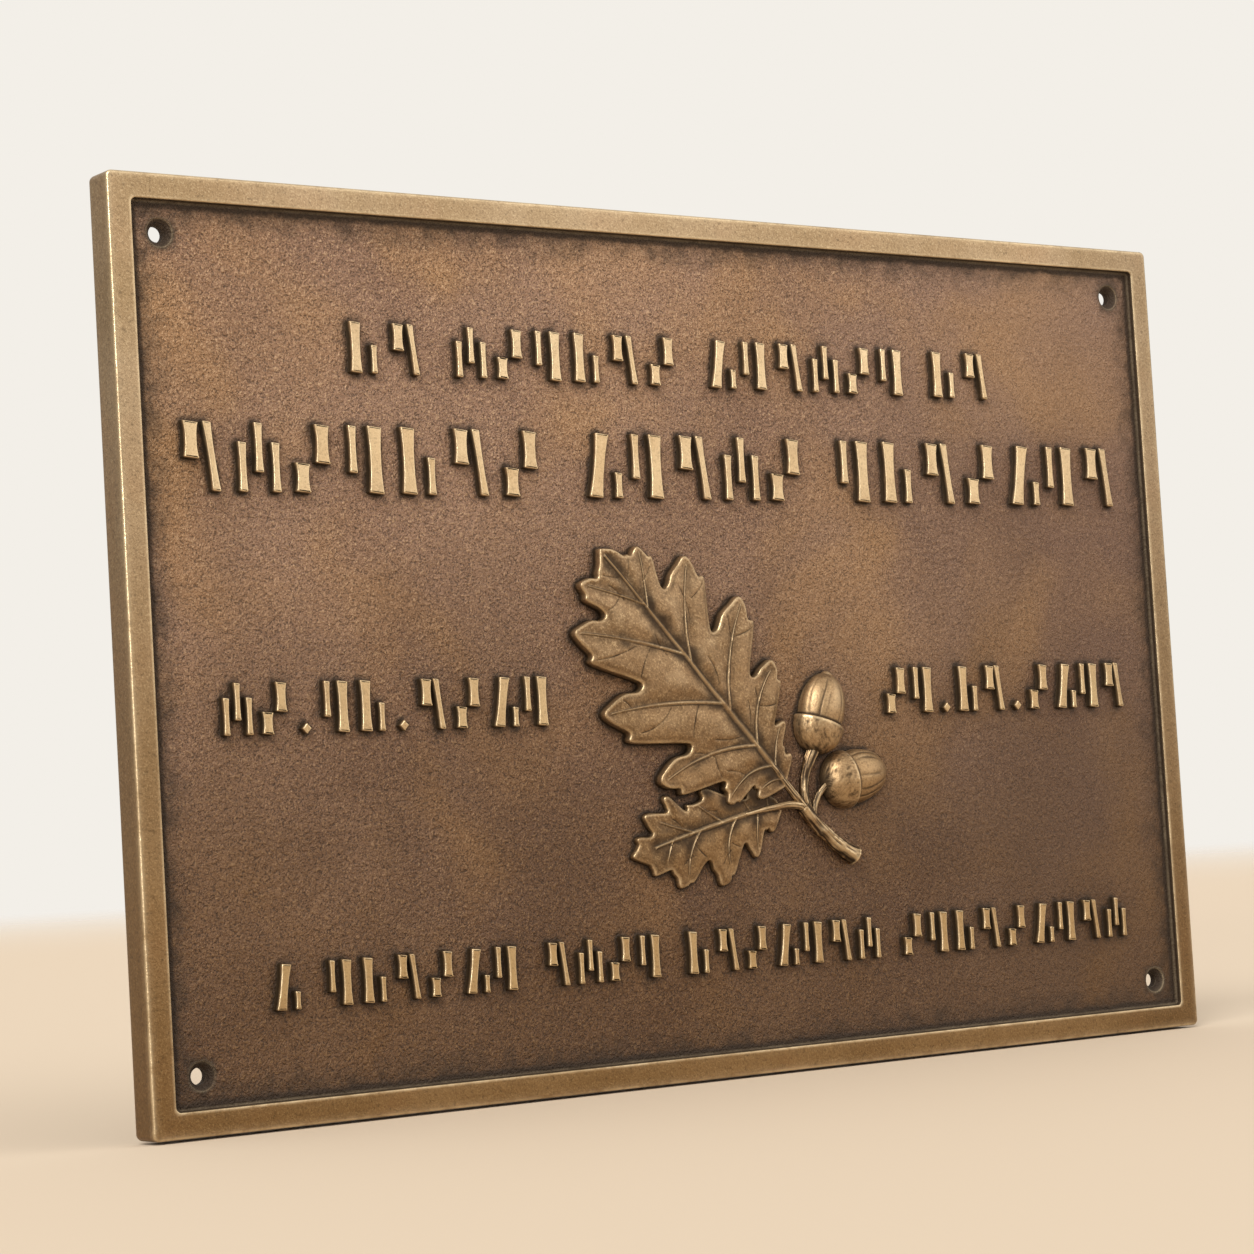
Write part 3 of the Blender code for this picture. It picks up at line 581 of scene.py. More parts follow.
# Rows of marks in place of an inscription: left, right, foot, head as shares of half the field, marks in each group
strokes = {
    "rows": ((-0.655, 0.650, 0.631, 0.751, (2, 6, 6, 2)), (-0.951, 0.937, 0.352, 0.510, (7, 5, 7)),
             (-0.900, -0.310, -0.191, -0.073, (2, 2, 4)), (0.357, 0.921, -0.189, -0.071, (2, 2, 4)),
             (-0.842, 0.887, -0.803, -0.699, (1, 6, 4, 7, 9))),
    "bold": 0.25, "fine": 0.14, "crowding": 0.77, "waist": 0.74, "cant": 0.18, "groupGap": 0.55,
    "stud": 0.20, "studPlace": 0.45, "sideSteps": 11, "round": 0.30,
}
bold, fine = strokes["bold"], strokes["fine"]
# each stroke: place across the cell, foot, head, lean, width
marks = (
    ((0.27, 0.00, 1.00, 0.00, bold), (0.70, 0.00, 0.56, 0.00, fine)),
    ((0.22, 0.30, 1.00, 0.00, fine), (0.64, 0.00, 1.00, 0.00, bold)),
    ((0.36, 0.00, 1.00, 0.16, bold), (0.84, 0.00, 0.40, 0.00, fine)),
    ((0.28, 0.00, 0.44, 0.00, bold), (0.66, 0.42, 1.00, 0.00, bold)),
    ((0.20, 0.00, 0.72, 0.00, fine), (0.50, 0.28, 1.00, 0.00, fine), (0.80, 0.00, 0.72, 0.00, fine)),
    ((0.30, 0.46, 1.00, 0.00, bold), (0.72, 0.00, 1.00, -0.12, fine)),
)


def strokeList():
    # every stroke as foot point, head point, width and whether it is a stud
    found = []
    for number, (left, right, foot, head, grouping) in enumerate(strokes["rows"]):
        left, right, foot, head = left * fieldHalfX, right * fieldHalfX, foot * fieldHalfZ, head * fieldHalfZ
        tall = head - foot
        gap = strokes["groupGap"] * tall
        pitch = (right - left - gap * (len(grouping) - 1)) / sum(grouping)
        size = min(tall, pitch / strokes["crowding"])
        at, count = left, number
        for group, many in enumerate(grouping):
            for _ in range(many):
                for across, low, high, lean, width in marks[(5 * count) % len(marks)]:
                    x = at + across * pitch
                    found.append((x, foot + low * tall, x + lean * size, foot + high * tall, width * size, 0))
                at += pitch
                count += 1 + (count % 4 == 3)
            if group < len(grouping) - 1 and grouping == (2, 2, 4):
                stud = strokes["stud"] * size
                x = at + gap * strokes["studPlace"]
                found.append((x, foot, x, foot + stud, stud, 1))
            at += gap
    return np.array(found)


strokeTable = strokeList()


def strokeOutlines(table):
    # a bar whose sides draw in to a waist, with slanted ends and rounded corners; a stud is a lozenge
    n = strokes["sideSteps"]
    t = np.concatenate([[0.0, 0.012, 0.045], np.linspace(0.10, 0.90, n - 6), [0.955, 0.988, 1.0]])[None]
    x0, z0, x1, z1, width, stud = (table[:, i:i + 1] for i in range(6))
    half, tall = width / 2, z1 - z0
    flare = strokes["waist"] + (1 - strokes["waist"]) * np.abs(2 * t - 1) ** 3.0
    toEnd = np.clip(np.minimum(t, 1 - t) * tall / (strokes["round"] * 1.2), 0, 1)
    corner = np.sqrt(np.clip(1 - (1 - toEnd) ** 2, 0, 1))
    bar = half * flare - strokes["round"] * 0.8 * (1 - corner)
    lozenge = half * np.clip(1 - np.abs(2 * t - 1) * 0.93, 0.0, 1)
    reach = np.where(stud > 0, lozenge, bar)
    slant = np.where(stud > 0, 0.0, strokes["cant"] * half)
    middle = x0 + (x1 - x0) * t
    leftX, rightX = middle - reach, middle + reach
    leftZ = z0 + slant + (tall - slant) * t
    rightZ = z0 + (tall - slant) * t
    left, right = np.stack([leftX, leftZ], -1), np.stack([rightX, rightZ], -1)
    return np.concatenate([left, right[:, ::-1]], 1)   # clockwise from the lower left


outlines = strokeOutlines(strokeTable)

print("field distances")


def loopPieces(loop):
    return loop, np.roll(loop, -1, 0)


def reliefDistances(points):
    # how far each field point is from the nearest relief, and from the foot of the border
    thin = outlines[:, ::2]
    pieces = [(thin.reshape(-1, 2), np.roll(thin, -1, 1).reshape(-1, 2)),
              loopPieces(bigOutline[::2]), loopPieces(smallOutline[::2])]
    pieces += [loopPieces(acornFootprint(*place)) for place in acorn["places"].values()]
    starts, ends = (np.concatenate([p[i] for p in pieces]) for i in (0, 1))
    wall = np.minimum(fieldHalfX - np.abs(points[:, 0]), fieldHalfZ - np.abs(points[:, 1]))
    return nearest(points, starts, ends), wall

print("body")


def rimPath(xs, zs):
    # the grid's outer points in order round it, each with its corner, its side and how far it is from the corner
    nx, nz = len(xs), len(zs)
    ix = np.concatenate([np.arange(nx - 1), np.full(nz - 1, nx - 1), np.arange(nx - 1, 0, -1), np.zeros(nz - 1, int)])
    iz = np.concatenate([np.zeros(nx - 1, int), np.arange(nz - 1), np.full(nx - 1, nz - 1), np.arange(nz - 1, 0, -1)])
    level = np.repeat([True, False, True, False], [nx - 1, nz - 1, nx - 1, nz - 1])
    x, z = xs[ix], zs[iz]
    signs = np.stack([np.where(x >= 0, 1, -1), np.where(z >= 0, 1, -1)], 1)
    away = np.where(level, xs[-1] - np.abs(x), zs[-1] - np.abs(z))
    return ix, iz, level, signs, away


def roundedLoop(path, startX, startZ, halfX, halfZ, radius):
    # the same points carried to a rectangle of another size with round corners, by length from each corner
    ix, iz, level, signs, away = path
    arc = radius * math.pi / 4
    grow = np.where(level, (halfX - radius + arc) / startX, (halfZ - radius + arc) / startZ)
    s = away * grow
    turn = math.pi / 4 + np.minimum(s / max(radius, 1e-6), math.pi / 4)
    onArc = s < arc
    alongLevel = np.where(onArc, halfX - radius + radius * np.cos(turn), halfX - radius - (s - arc))
    acrossLevel = np.where(onArc, halfZ - radius + radius * np.sin(turn), halfZ)
    alongUp = np.where(onArc, halfZ - radius + radius * np.cos(turn), halfZ - radius - (s - arc))
    acrossUp = np.where(onArc, halfX - radius + radius * np.sin(turn), halfX)
    x = np.where(level, alongLevel, acrossUp)
    z = np.where(level, acrossLevel, alongUp)
    return np.stack([x * signs[:, 0], z * signs[:, 1]], 1)


def gradedLine(half, step):
    # even steps across the field, finer towards the two ends so the corners come out round
    near = np.cumsum([0, 0.2, 0.2, 0.22, 0.28, 0.4, 0.55, 0.75])
    inner = half - near[-1]
    count = max(2, round(2 * inner / step))
    return np.concatenate([near[:-1] - half, np.linspace(-inner, inner, count + 1), half - near[-2::-1]])


def pocketLoop(side, end, grow, corner):
    # a rounded rectangle, counted round from its lower left
    width = plate["halfWidth"] - plate["backRim"] - plate["rib"] / 2
    height = plate["halfHeight"] - plate["backRim"] - plate["rib"] / 2
    cx, cz = side * (plate["rib"] + width) / 2, end * (plate["rib"] + height) / 2
    hx, hz = width / 2 + grow, height / 2 + grow
    a = np.linspace(0, math.pi / 2, 9)
    corners = [(-1, -1, math.pi), (1, -1, 1.5 * math.pi), (1, 1, 0.0), (-1, 1, 0.5 * math.pi)]
    return np.concatenate([np.stack([cx + sx * (hx - corner) + corner * np.cos(a + turn),
                                     cz + sz * (hz - corner) + corner * np.sin(a + turn)], 1)
                           for sx, sz, turn in corners])


def buildBody(material):
    # a grid for the field, rings round the screw holes, a moulding profile carried round to the back, and pockets
    p = plate
    faceY, webY = -p["edge"], fieldY + p["web"]
    inset = p["border"] + p["footFillet"]
    startX, startZ = p["halfWidth"] - inset, p["halfHeight"] - inset
    xs, zs = gradedLine(startX, p["gridStep"]), gradedLine(startZ, p["gridStep"])
    gx, gz = np.meshgrid(xs, zs, indexing="ij")
    x, z = gx.ravel(), gz.ravel()
    flat = np.stack([x, z], 1)
    distance, wall = reliefDistances(flat)
    holeX, holeZ = p["halfWidth"] - p["holeInsetX"], p["halfHeight"] - p["holeInsetZ"]
    toHole = np.hypot(np.abs(x) - holeX, np.abs(z) - holeZ)
    # the cast skin: lumps of several sizes, rougher in patches, dying away at the edge of the grid and the holes
    quiet = ease(3.6, 6.0, toHole) * ease(0.75, 2.2, wall)
    patchy = 0.7 + 0.6 * valueNoise(x, z, 24.0, 3)
    smoother = 1 - 0.45 * ease(20, 130, x) * ease(20, -60, z)
    lumps = 0.45 * valueNoise(x, z, 9.0, 4) + 0.55 * valueNoise(x, z, 2.9, 5) + 0.75 * valueNoise(x, z, 1.5, 6)
    y = fieldY - p["grainDepth"] * lumps * patchy * smoother * quiet
    front = atDepth(flat, y)
    # patina and painted shade gather at the foot of the relief and of the border, and in the corners; the narrow dark
    # line right at the foot is painted contact shade
    corner = np.hypot(np.maximum(fieldHalfX - np.abs(x), 0), np.maximum(fieldHalfZ - np.abs(z), 0))
    fieldPatinaAndShade = np.max([0.85 * bell(np.maximum(distance - 0.2, 0), 0.85), 0.27 * bell(distance, 3.2),
                     bell(wall, 2.4), bell(wall - 0.5, 6.5) * 0.5, 0.6 * bell(corner, 13.0)], axis=0)
    points, faces, shades = [], [], {"field": [], "patinaAndShade": [], "wear": []}

    def add(block, blockFaces, field, patinaAndShade, wear):
        # one more block of points, its faces counted on from the blocks before
        faces.append(blockFaces + sum(len(other) for other in points))
        points.append(block)
        for key, value in (("field", field), ("patinaAndShade", patinaAndShade), ("wear", wear)):
            shades[key].append(np.broadcast_to(value, len(block)))

    cells = gridFaces(len(xs), len(zs))
    middles = flat[cells].mean(1)
    keep = np.ones(len(cells), bool)
    add(front, cells[:0], 1.0, fieldPatinaAndShade, 0.0)
    # a block of cells round each hole gives way to rings that turn from square to round and go down through the web
    sink, bore = p["sinkRadius"], p["holeRadius"]
    holeRings = [(sink + 0.06, 0.03, 0.75, 0.15), (sink - 0.06, 0.14, 0.6, 0.35), (sink - 0.3, 0.42, 0.9, 0.05),
                 (sink - 0.9, 1.14, 1.0, 0), (bore + 0.13, 1.58, 1.0, 0), (bore + 0.02, 1.74, 1.0, 0.1),
                 (bore, 2.0, 1.0, 0), (bore, 3.45, 0.8, 0), (bore + 0.15, p["web"], 0.6, 0),
                 (sink, p["web"], 0.12, 0)]      # radius, depth under the field, patina with painted shade in the hole, wear
    holeFeet = {}
    for side in (-1, 1):
        for end in (-1, 1):
            centre = np.array([side * holeX, end * holeZ])
            i0, i1 = (int(np.abs(xs - (centre[0] + d)).argmin()) for d in (-p["holeBlock"], p["holeBlock"]))
            k0, k1 = (int(np.abs(zs - (centre[1] + d)).argmin()) for d in (-p["holeBlock"], p["holeBlock"]))
            keep &= ~((middles[:, 0] > xs[i0]) & (middles[:, 0] < xs[i1])
                      & (middles[:, 1] > zs[k0]) & (middles[:, 1] < zs[k1]))
            ii = np.concatenate([np.arange(i0, i1), np.full(k1 - k0, i1), np.arange(i1, i0, -1), np.full(k1 - k0, i0)])
            kk = np.concatenate([np.full(i1 - i0, k0), np.arange(k0, k1), np.full(i1 - i0, k1), np.arange(k1, k0, -1)])
            rim = ii * len(zs) + kk
            square = flat[rim]
            angle = np.arctan2(square[:, 1] - centre[1], square[:, 0] - centre[0])
            spoke = np.stack([np.cos(angle), np.sin(angle)], 1)
            blocks, patinaAndShade = [front[rim]], [fieldPatinaAndShade[rim]]
            for share in (0.45, 0.85):      # flat rings part of the way from the square to the sink's mouth
                at = square + (centre + (sink + 0.25) * spoke - square) * share
                blocks.append(atDepth(at, y[rim] * (1 - share) + fieldY * share))
                patinaAndShade.append(fieldPatinaAndShade[rim] * (1 - share) + share * 0.55)
            blocks += [atDepth(centre + radius * spoke, fieldY + down) for radius, down, _, _ in holeRings]
            patinaAndShade += [np.full(len(rim), row[2]) for row in holeRings]
            wear = np.repeat([0, 0, 0] + [row[3] for row in holeRings], len(rim))
            add(np.concatenate(blocks), gridFaces(len(blocks), len(rim), closed=True), 1.0, np.concatenate(patinaAndShade), wear)
            holeFeet[(side, end)] = blocks[-1][:, ::2]
    faces.append(cells[keep])
    # the moulding: (inset from the outer face, depth, corner radius, field share, patina with painted shade in the
    # recess, wear)
    # carried round the rectangle, from the field over the border and the edge to the back
    profile = []
    for a in np.radians([18, 36, 54, 72, 90]):
        profile.append((inset - p["footFillet"] * math.sin(a), fieldY - p["footFillet"] * (1 - math.cos(a)),
                        0.05 + math.sin(a), 1 - 0.6 * math.sin(a), 1.0, 0.16 * math.sin(2 * a)))
    edge, inner, outer, back = p["border"], p["innerRound"], p["frontRound"], p["backRound"]
    profile += [(edge - 0.06, fieldY - 1.05, 1.08, 0.3, 0.95, 0),
                (edge - 0.09, faceY + inner + 0.04, 1.1, 0.2, 0.7, 0.2)]
    for a, wear in zip(np.radians([0, 30, 60, 90]), (0.3, 0.906, 0.906, 0.55)):
        profile.append((edge - 0.10 - inner + inner * math.cos(a), faceY + inner - inner * math.sin(a),
                        1.15 + 0.2 * math.sin(a), 0, 0.35 * math.cos(a), wear))
    profile += [(edge - 0.85, faceY, 1.4, 0, 0, 0.04), (3.6, faceY, 1.3, 0, 0, 0), (2.2, faceY, 1.1, 0, 0, 0),
                (1.15, faceY, 0.9, 0, 0, 0.08)]
    for a, wear in zip(np.radians([0, 18, 36, 54, 72, 90]), (0.3, 0.773, 0.973, 0.973, 0.773, 0.3)):
        drawnIn = outer * (1 - math.sin(a))
        profile.append((drawnIn, faceY + outer * (1 - math.cos(a)), p["cornerRadius"] - drawnIn, 0, 0, wear))
    profile += [(0, -6.6, 1.5, 0, 0, 0), (0, -4.4, 1.5, 0, 0.02, 0), (0, -2.4, 1.5, 0, 0.06, 0)]
    for a in np.radians([0, 22, 45, 67, 90]):
        drawnIn = back * (1 - math.cos(a))
        profile.append((drawnIn, -back * (1 - math.sin(a)), p["cornerRadius"] - drawnIn, 0, 0.1,
                        0.35 * math.sin(2 * a)))
    profile.append((2.4, 0.0, 0.3, 0.1, 0.12, 0))
    path = rimPath(xs, zs)
    rim = path[0] * len(zs) + path[1]
    blocks = [front[rim]]
    for drawnIn, depth, radius, _, _, _ in profile:
        loop = roundedLoop(path, startX, startZ, p["halfWidth"] - drawnIn, p["halfHeight"] - drawnIn, radius)
        blocks.append(atDepth(loop, depth))
    field, patinaAndShade, wear = (np.repeat([row[k] for row in profile], len(rim)) for k in (3, 4, 5))
    add(np.concatenate(blocks), gridFaces(len(blocks), len(rim), closed=True), np.append(np.ones(len(rim)), field),
        np.append(fieldPatinaAndShade[rim], patinaAndShade), np.append(np.zeros(len(rim)), wear))
    # the back: rim and ribs in one plane, and four shallow pockets with round feet
    draft = p["pocketDraft"]
    pocketRows = [(draft + 1.2, 0.0, 0.12, 0), (draft + 0.45, 0.0, 0.1, 0.35), (draft + 0.15, -0.12, 0.1, 0.5),
                  (draft, -0.45, 0.25, 0.2), (0.15, webY + 0.8, 0.6, 0), (0.0, webY + 0.5, 0.8, 0),
                  (-0.25, webY + 0.15, 0.85, 0), (-0.8, webY, 0.6, 0), (-2.4, webY, 0.12, 0)]      # growth, depth, patina with painted shade in the pocket, wear
    mouths = []
    for (side, end), foot in holeFeet.items():
        loops = [pocketLoop(side, end, row[0], p["pocketCorner"] + row[0]) for row in pocketRows]
        mouths.append(loops[0])
        shaft = np.concatenate([atDepth(loop, row[1]) for loop, row in zip(loops, pocketRows)])
        patinaAndShade, wear = (np.repeat([row[k] for row in pocketRows], len(loops[0])) for k in (2, 3))
        add(shaft, gridFaces(len(loops), len(loops[0]), closed=True), 0.6, patinaAndShade, wear)
        places, triangles = fillBetween(loops[-1], [foot])
        add(atDepth(places, webY), triangles, 0.6, 0.12, 0.0)
    places, triangles = fillBetween(blocks[-1][:, ::2], mouths)
    add(atDepth(places, 0.0), triangles, 0.3, 0.12, 0.0)
    return meshPiece("castBody", np.concatenate(points), faces,
                     {key: np.concatenate(values) for key, values in shades.items()}, material)



body = buildBody(bronze("castBronze", bodyLook))
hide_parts("bronze_plaque")

print("strokes")


def buildStrokes(material):
    # each outline is carried up in rings that close in round the top edge, and its two sides are joined across
    many, around = outlines.shape[:2]
    way = np.roll(outlines, -1, 1) - np.roll(outlines, 1, 1)
    normal = np.stack([-way[..., 1], way[..., 0]], -1) / np.maximum(np.linalg.norm(way, axis=-1, keepdims=True), 1e-9)
    top = plate["recess"]
    levels = [(0.30, -0.35, 1.0, 0), (0.22, 0.02, 1.0, 0), (0.10, 0.22, 1.0, 0), (0.06, 0.75, 0.85, 0),
              (0.03, 1.35, 0.55, 0.15), (-0.02, top - 0.20, 0.15, 0.75), (-0.10, top - 0.07, 0.0, 1.0),
              (-0.22, top - 0.01, 0.0, 0.7), (-0.42, top, 0.0, 0.0)]      # outward, height, patina with painted shade at the foot, wear
    width = np.linalg.norm(outlines - outlines[:, ::-1], axis=-1)[..., None]
    layers = []
    for out, high, _, _ in levels:
        step = np.maximum(out, -0.42 * width) if out < 0 else out
        layers.append(atDepth(outlines + normal * step, fieldY - high))
    points = np.stack(layers, 1)          # stroke, level, around, place
    rows = len(levels)
    k = np.arange(around // 2 - 1)
    lid = np.stack([k, k + 1, around - 2 - k, around - 1 - k], 1)
    one = np.concatenate([gridFaces(rows, around, closed=True), lid[:, ::-1] + (rows - 1) * around, lid])
    faces = (one[None] + (np.arange(many) * rows * around)[:, None, None]).reshape(-1, 4)
    shades = {key: np.tile(np.repeat([row[k] for row in levels], around), many)
              for key, k in (("patinaAndShade", 2), ("wear", 3))}
    return meshPiece("strokeRows", points.reshape(-1, 3), [faces], shades, material)



buildStrokes(bronze("strokeBronze", strokeLook))

print("leaves")


def leafHeights(leaf, points, outline, veinLines, veinletLines):
    # height over the leaf's edge: a crown, a strong rib, raised veins in shallow valleys, cut veinlets and a thin rim;
    # also a dark mark, patina with painted shade in the creases and valleys, and a bright mark of rubbed metal
    x, z = points[:, 0], points[:, 1]
    edge = nearest(points, *loopPieces(outline))
    along, _ = leafAxes(leaf)
    reach = ((points - joint) @ along) / leaf["length"]
    ribLine = veinLines[0]
    toRib = nearest(points, ribLine[:-1], ribLine[1:])
    ribWide = leaf["ribWidth"][0] + (leaf["ribWidth"][1] - leaf["ribWidth"][0]) * np.clip(reach, 0, 1)

    ridge = leaf["ribHeight"] * (0.40 + 0.60 * ribWide / leaf["ribWidth"][0]) * bell(toRib, ribWide * 0.55)
    valley = 0.42 * bell(toRib, 2.8)
    # dark lines at the feet of the rib and of the veins: patina with painted shade in the creases
    dark = 0.95 * bell(toRib - ribWide * 1.15, 0.30)
    bright = 0.85 * bell(toRib, ribWide * 0.5)
    nearVein = np.full(len(points), 99.0)
    for line, width in zip(veinLines[1:], [v[3] for v in leaf["veins"]]):
        distance = nearest(points, line[:-1], line[1:])
        length = np.hypot(*(line[-1] - line[0]))
        share = np.clip(((points - line[0]) @ (line[-1] - line[0])) / length ** 2, 0, 1)
        wide = 0.80 * width * (1 - 0.60 * share)
        strength = 1 - 0.55 * share
        ridge = np.maximum(ridge, 0.36 * strength * bell(distance, wide * 0.60))
        valley = np.maximum(valley, 0.34 * strength * bell(distance, 2.2))
        dark = np.maximum(dark, 0.90 * bell(distance - wide * 1.1, 0.24) * (1 - 0.35 * share))
        bright = np.maximum(bright, 0.75 * strength * bell(distance, wide * 0.5))
        nearVein = np.minimum(nearVein, distance)
    cut = np.zeros(len(points))
    for line in veinletLines:
        cut = np.maximum(cut, bell(nearest(points, line[:-1], line[1:]), 0.18))
    away = np.minimum(nearVein, toRib)
    puff = 1 - np.exp(-(away / 3.0) ** 2)
    waves = 0.16 * valueNoise(x, z, 5.5, 21) + 0.06 * valueNoise(x, z, 1.9, 22)
    inner = ease(0.0, 1.6, edge)
    height = leaf["crown"] * (1 - np.exp(-edge / 3.0))
    height = height + inner * (ridge + 0.34 * puff + waves - valley - 0.12 * cut) + 0.14 * bell(edge - 0.35, 0.32)
    height = height - 0.26 * np.clip(1 - edge / 0.32, 0, 1) ** 2
    # painted shade in the broad valleys beside the rib and between the veins, with random darker patches; the cut
    # veinlets are darkened as well
    valleyShade = (0.42 - 0.22 * reach) * bell(toRib - 1.3, 2.2) + 0.30 * bell(away - 0.9, 1.1) \
        + 0.22 * ease(0.1, -0.9, valueNoise(x, z, 4.0, 24))
    dark = np.maximum(np.maximum(dark, 0.75 * cut), valleyShade) * inner
    # a darker band just inside the raised rim
    dark = np.maximum(dark, 0.35 * bell(edge - 1.1, 0.5))
    rim = bell(edge - 0.12, 0.30) * (0.80 + 0.20 * valueNoise(x, z, 3.0, 31))
    polished = 0.18 * puff * ease(-0.2, 0.8, valueNoise(x, z, 3.2, 25)) * ease(0.8, 2.5, edge)
    bright = np.maximum(np.maximum(bright * inner, rim), polished)
    return height, np.clip(dark * (1 - 0.8 * bright), 0, 1), np.clip(bright, 0, 1)


def buildLeaf(name, leaf, outline, material, shadowCaster=None):
    # a blade meshed by Delaunay triangles over graded points, with rings of wall down into the field and a flat foot
    unit = leaf["length"] / 100
    veinLines = [onFace(leaf, onRib(leaf, np.linspace(0.01, leaf["ribEnd"] / 100, 160)))]
    for root, end, bow, _ in leaf["veins"]:
        veinLines.append(onFace(leaf, bent(onRib(leaf, root / 100)[0], np.array(end) * unit, bow * unit, 26)))
    veinletLines = [onFace(leaf, bent(np.array(a) * unit, np.array(b) * unit, bow * unit, 9))
                    for a, b, bow in leaf["veinlets"]]
    low, high = outline.min(0), outline.max(0)
    # points: an even grid, and denser rows beside the rib, the veins and the veinlets
    step = 0.50
    gx, gz = np.meshgrid(np.arange(low[0], high[0], step), np.arange(low[1], high[1], step), indexing="ij")
    gz = gz + (np.arange(len(gz)) % 2)[:, None] * step / 2
    grid = np.stack([gx.ravel(), gz.ravel()], 1)
    rows = []
    for i, line in enumerate(veinLines + veinletLines):
        way = np.gradient(line, axis=0)
        side = np.stack([-way[:, 1], way[:, 0]], 1) / np.maximum(np.linalg.norm(way, axis=1, keepdims=True), 1e-9)
        count = max(4, int(np.hypot(*np.diff(line, axis=0).T).sum() / 0.36))
        at, aside = readAlong(line, count), readAlong(side, count)
        if i == 0:
            offsets = (-1.7, -1.35, -1.0, -0.65, -0.32, 0, 0.32, 0.65, 1.0, 1.35, 1.7)
        elif i < len(veinLines):
            offsets = (-0.75, -0.5, -0.25, 0, 0.25, 0.5, 0.75)
        else:
            offsets = (-0.32, -0.16, 0, 0.16, 0.32)
        rows += [at + aside * o for o in offsets]
    rows = np.concatenate(rows)
    cell = np.round(rows / 0.17).astype(int)      # no two points in one small cell
    _, first = np.unique(cell[:, 0] * 100003 + cell[:, 1], return_index=True)
    rows = rows[np.sort(first)]
    starts = np.concatenate([line[:-1] for line in veinLines + veinletLines])
    ends = np.concatenate([line[1:] for line in veinLines + veinletLines])
    grid = grid[nearest(grid, starts, ends) > 0.62]
    way = np.roll(outline, -1, 0) - np.roll(outline, 1, 0)
    normal = np.stack([-way[:, 1], way[:, 0]], 1) / np.linalg.norm(way, axis=1, keepdims=True)
    if not insideLoop(outline[:1] + normal[:1] * 0.2, outline)[0]:
        normal = -normal
    # two rings just inside the edge keep the rim clean
    inside = np.concatenate([rows, grid])
    inside = inside[insideLoop(inside, outline)]
    inside = inside[nearest(inside, *loopPieces(outline)) > 0.60]
    for inward, least in ((0.38, 0.34), (0.16, 0.14)):
        ring = outline + normal * inward
        ring = ring[insideLoop(ring, outline)]
        ring = ring[nearest(ring, *loopPieces(outline)) > least]
        inside = np.concatenate([ring, inside])
    n = len(outline)
    edges, whole = loopEdges(n), [range(n)]
    places, triangles, origins = triangulate(np.concatenate([outline, inside]), edges, whole, 1, 1e-6)
    origin = np.array([o[0] if o else -1 for o in origins])
    onEdge = (origin >= 0) & (origin < n)
    order = np.full(n, -1)
    order[origin[onEdge]] = np.nonzero(onEdge)[0]
    height, dark, bright = leafHeights(leaf, places, outline, veinLines, veinletLines)
    if shadowCaster is not None:      # painted shadow where the other leaf lies over this one: darker, and its rubbed brightness dimmed
        toShadowCaster = nearest(places, *loopPieces(shadowCaster))
        dark = np.maximum(dark, 0.95 * bell(toShadowCaster, 2.6) * (1 - 0.5 * bright))
        bright = bright * (1 - 0.8 * bell(toShadowCaster, 2.0))
    lift = leaf["lift"]
    top = atDepth(places, fieldY - lift - height)
    # the wall: rings from the edge down into the field, a little proud at the foot
    levels = [(-0.02, lift - 0.45, 0.0, 0.60), (-0.04, lift * 0.60, 0.12, 0.30), (-0.10, lift * 0.25, 0.70, 0.0),
              (-0.24, 0.06, 1.0, 0.0), (-0.35, -0.4, 1.0, 0.0)]      # inward, height, patina with painted shade at the foot of the wall, wear
    wall = [top[order]] + [atDepth(outline + normal * inward, fieldY - high) for inward, high, _, _ in levels]
    wallFaces = gridFaces(len(wall), n, len(top), closed=True)
    places, footFaces, _ = triangulate(outline + normal * levels[-1][0], edges, whole, 1, 1e-6)
    under = atDepth(places, fieldY + 0.4)
    patinaAndShade, wear = (np.repeat([row[k] for row in levels], n) for k in (2, 3))
    faces = [triangles, wallFaces, footFaces[:, ::-1] + len(top) + len(wall) * n]
    shades = {"patinaAndShade": np.concatenate([dark, np.zeros(n), patinaAndShade, np.ones(len(under))]),
              "wear": np.concatenate([bright, bright[order], wear, np.zeros(len(under))])}
    return meshPiece(name, np.concatenate([top] + wall + [under]), faces, shades, material, sharp=60)



leafBronze = bronze("leafBronze", leafLook)
buildLeaf("smallLeaf", smallLeaf, smallOutline, leafBronze, shadowCaster=bigOutline)
buildLeaf("bigLeaf", bigLeaf, bigOutline, leafBronze)

print("acorns")


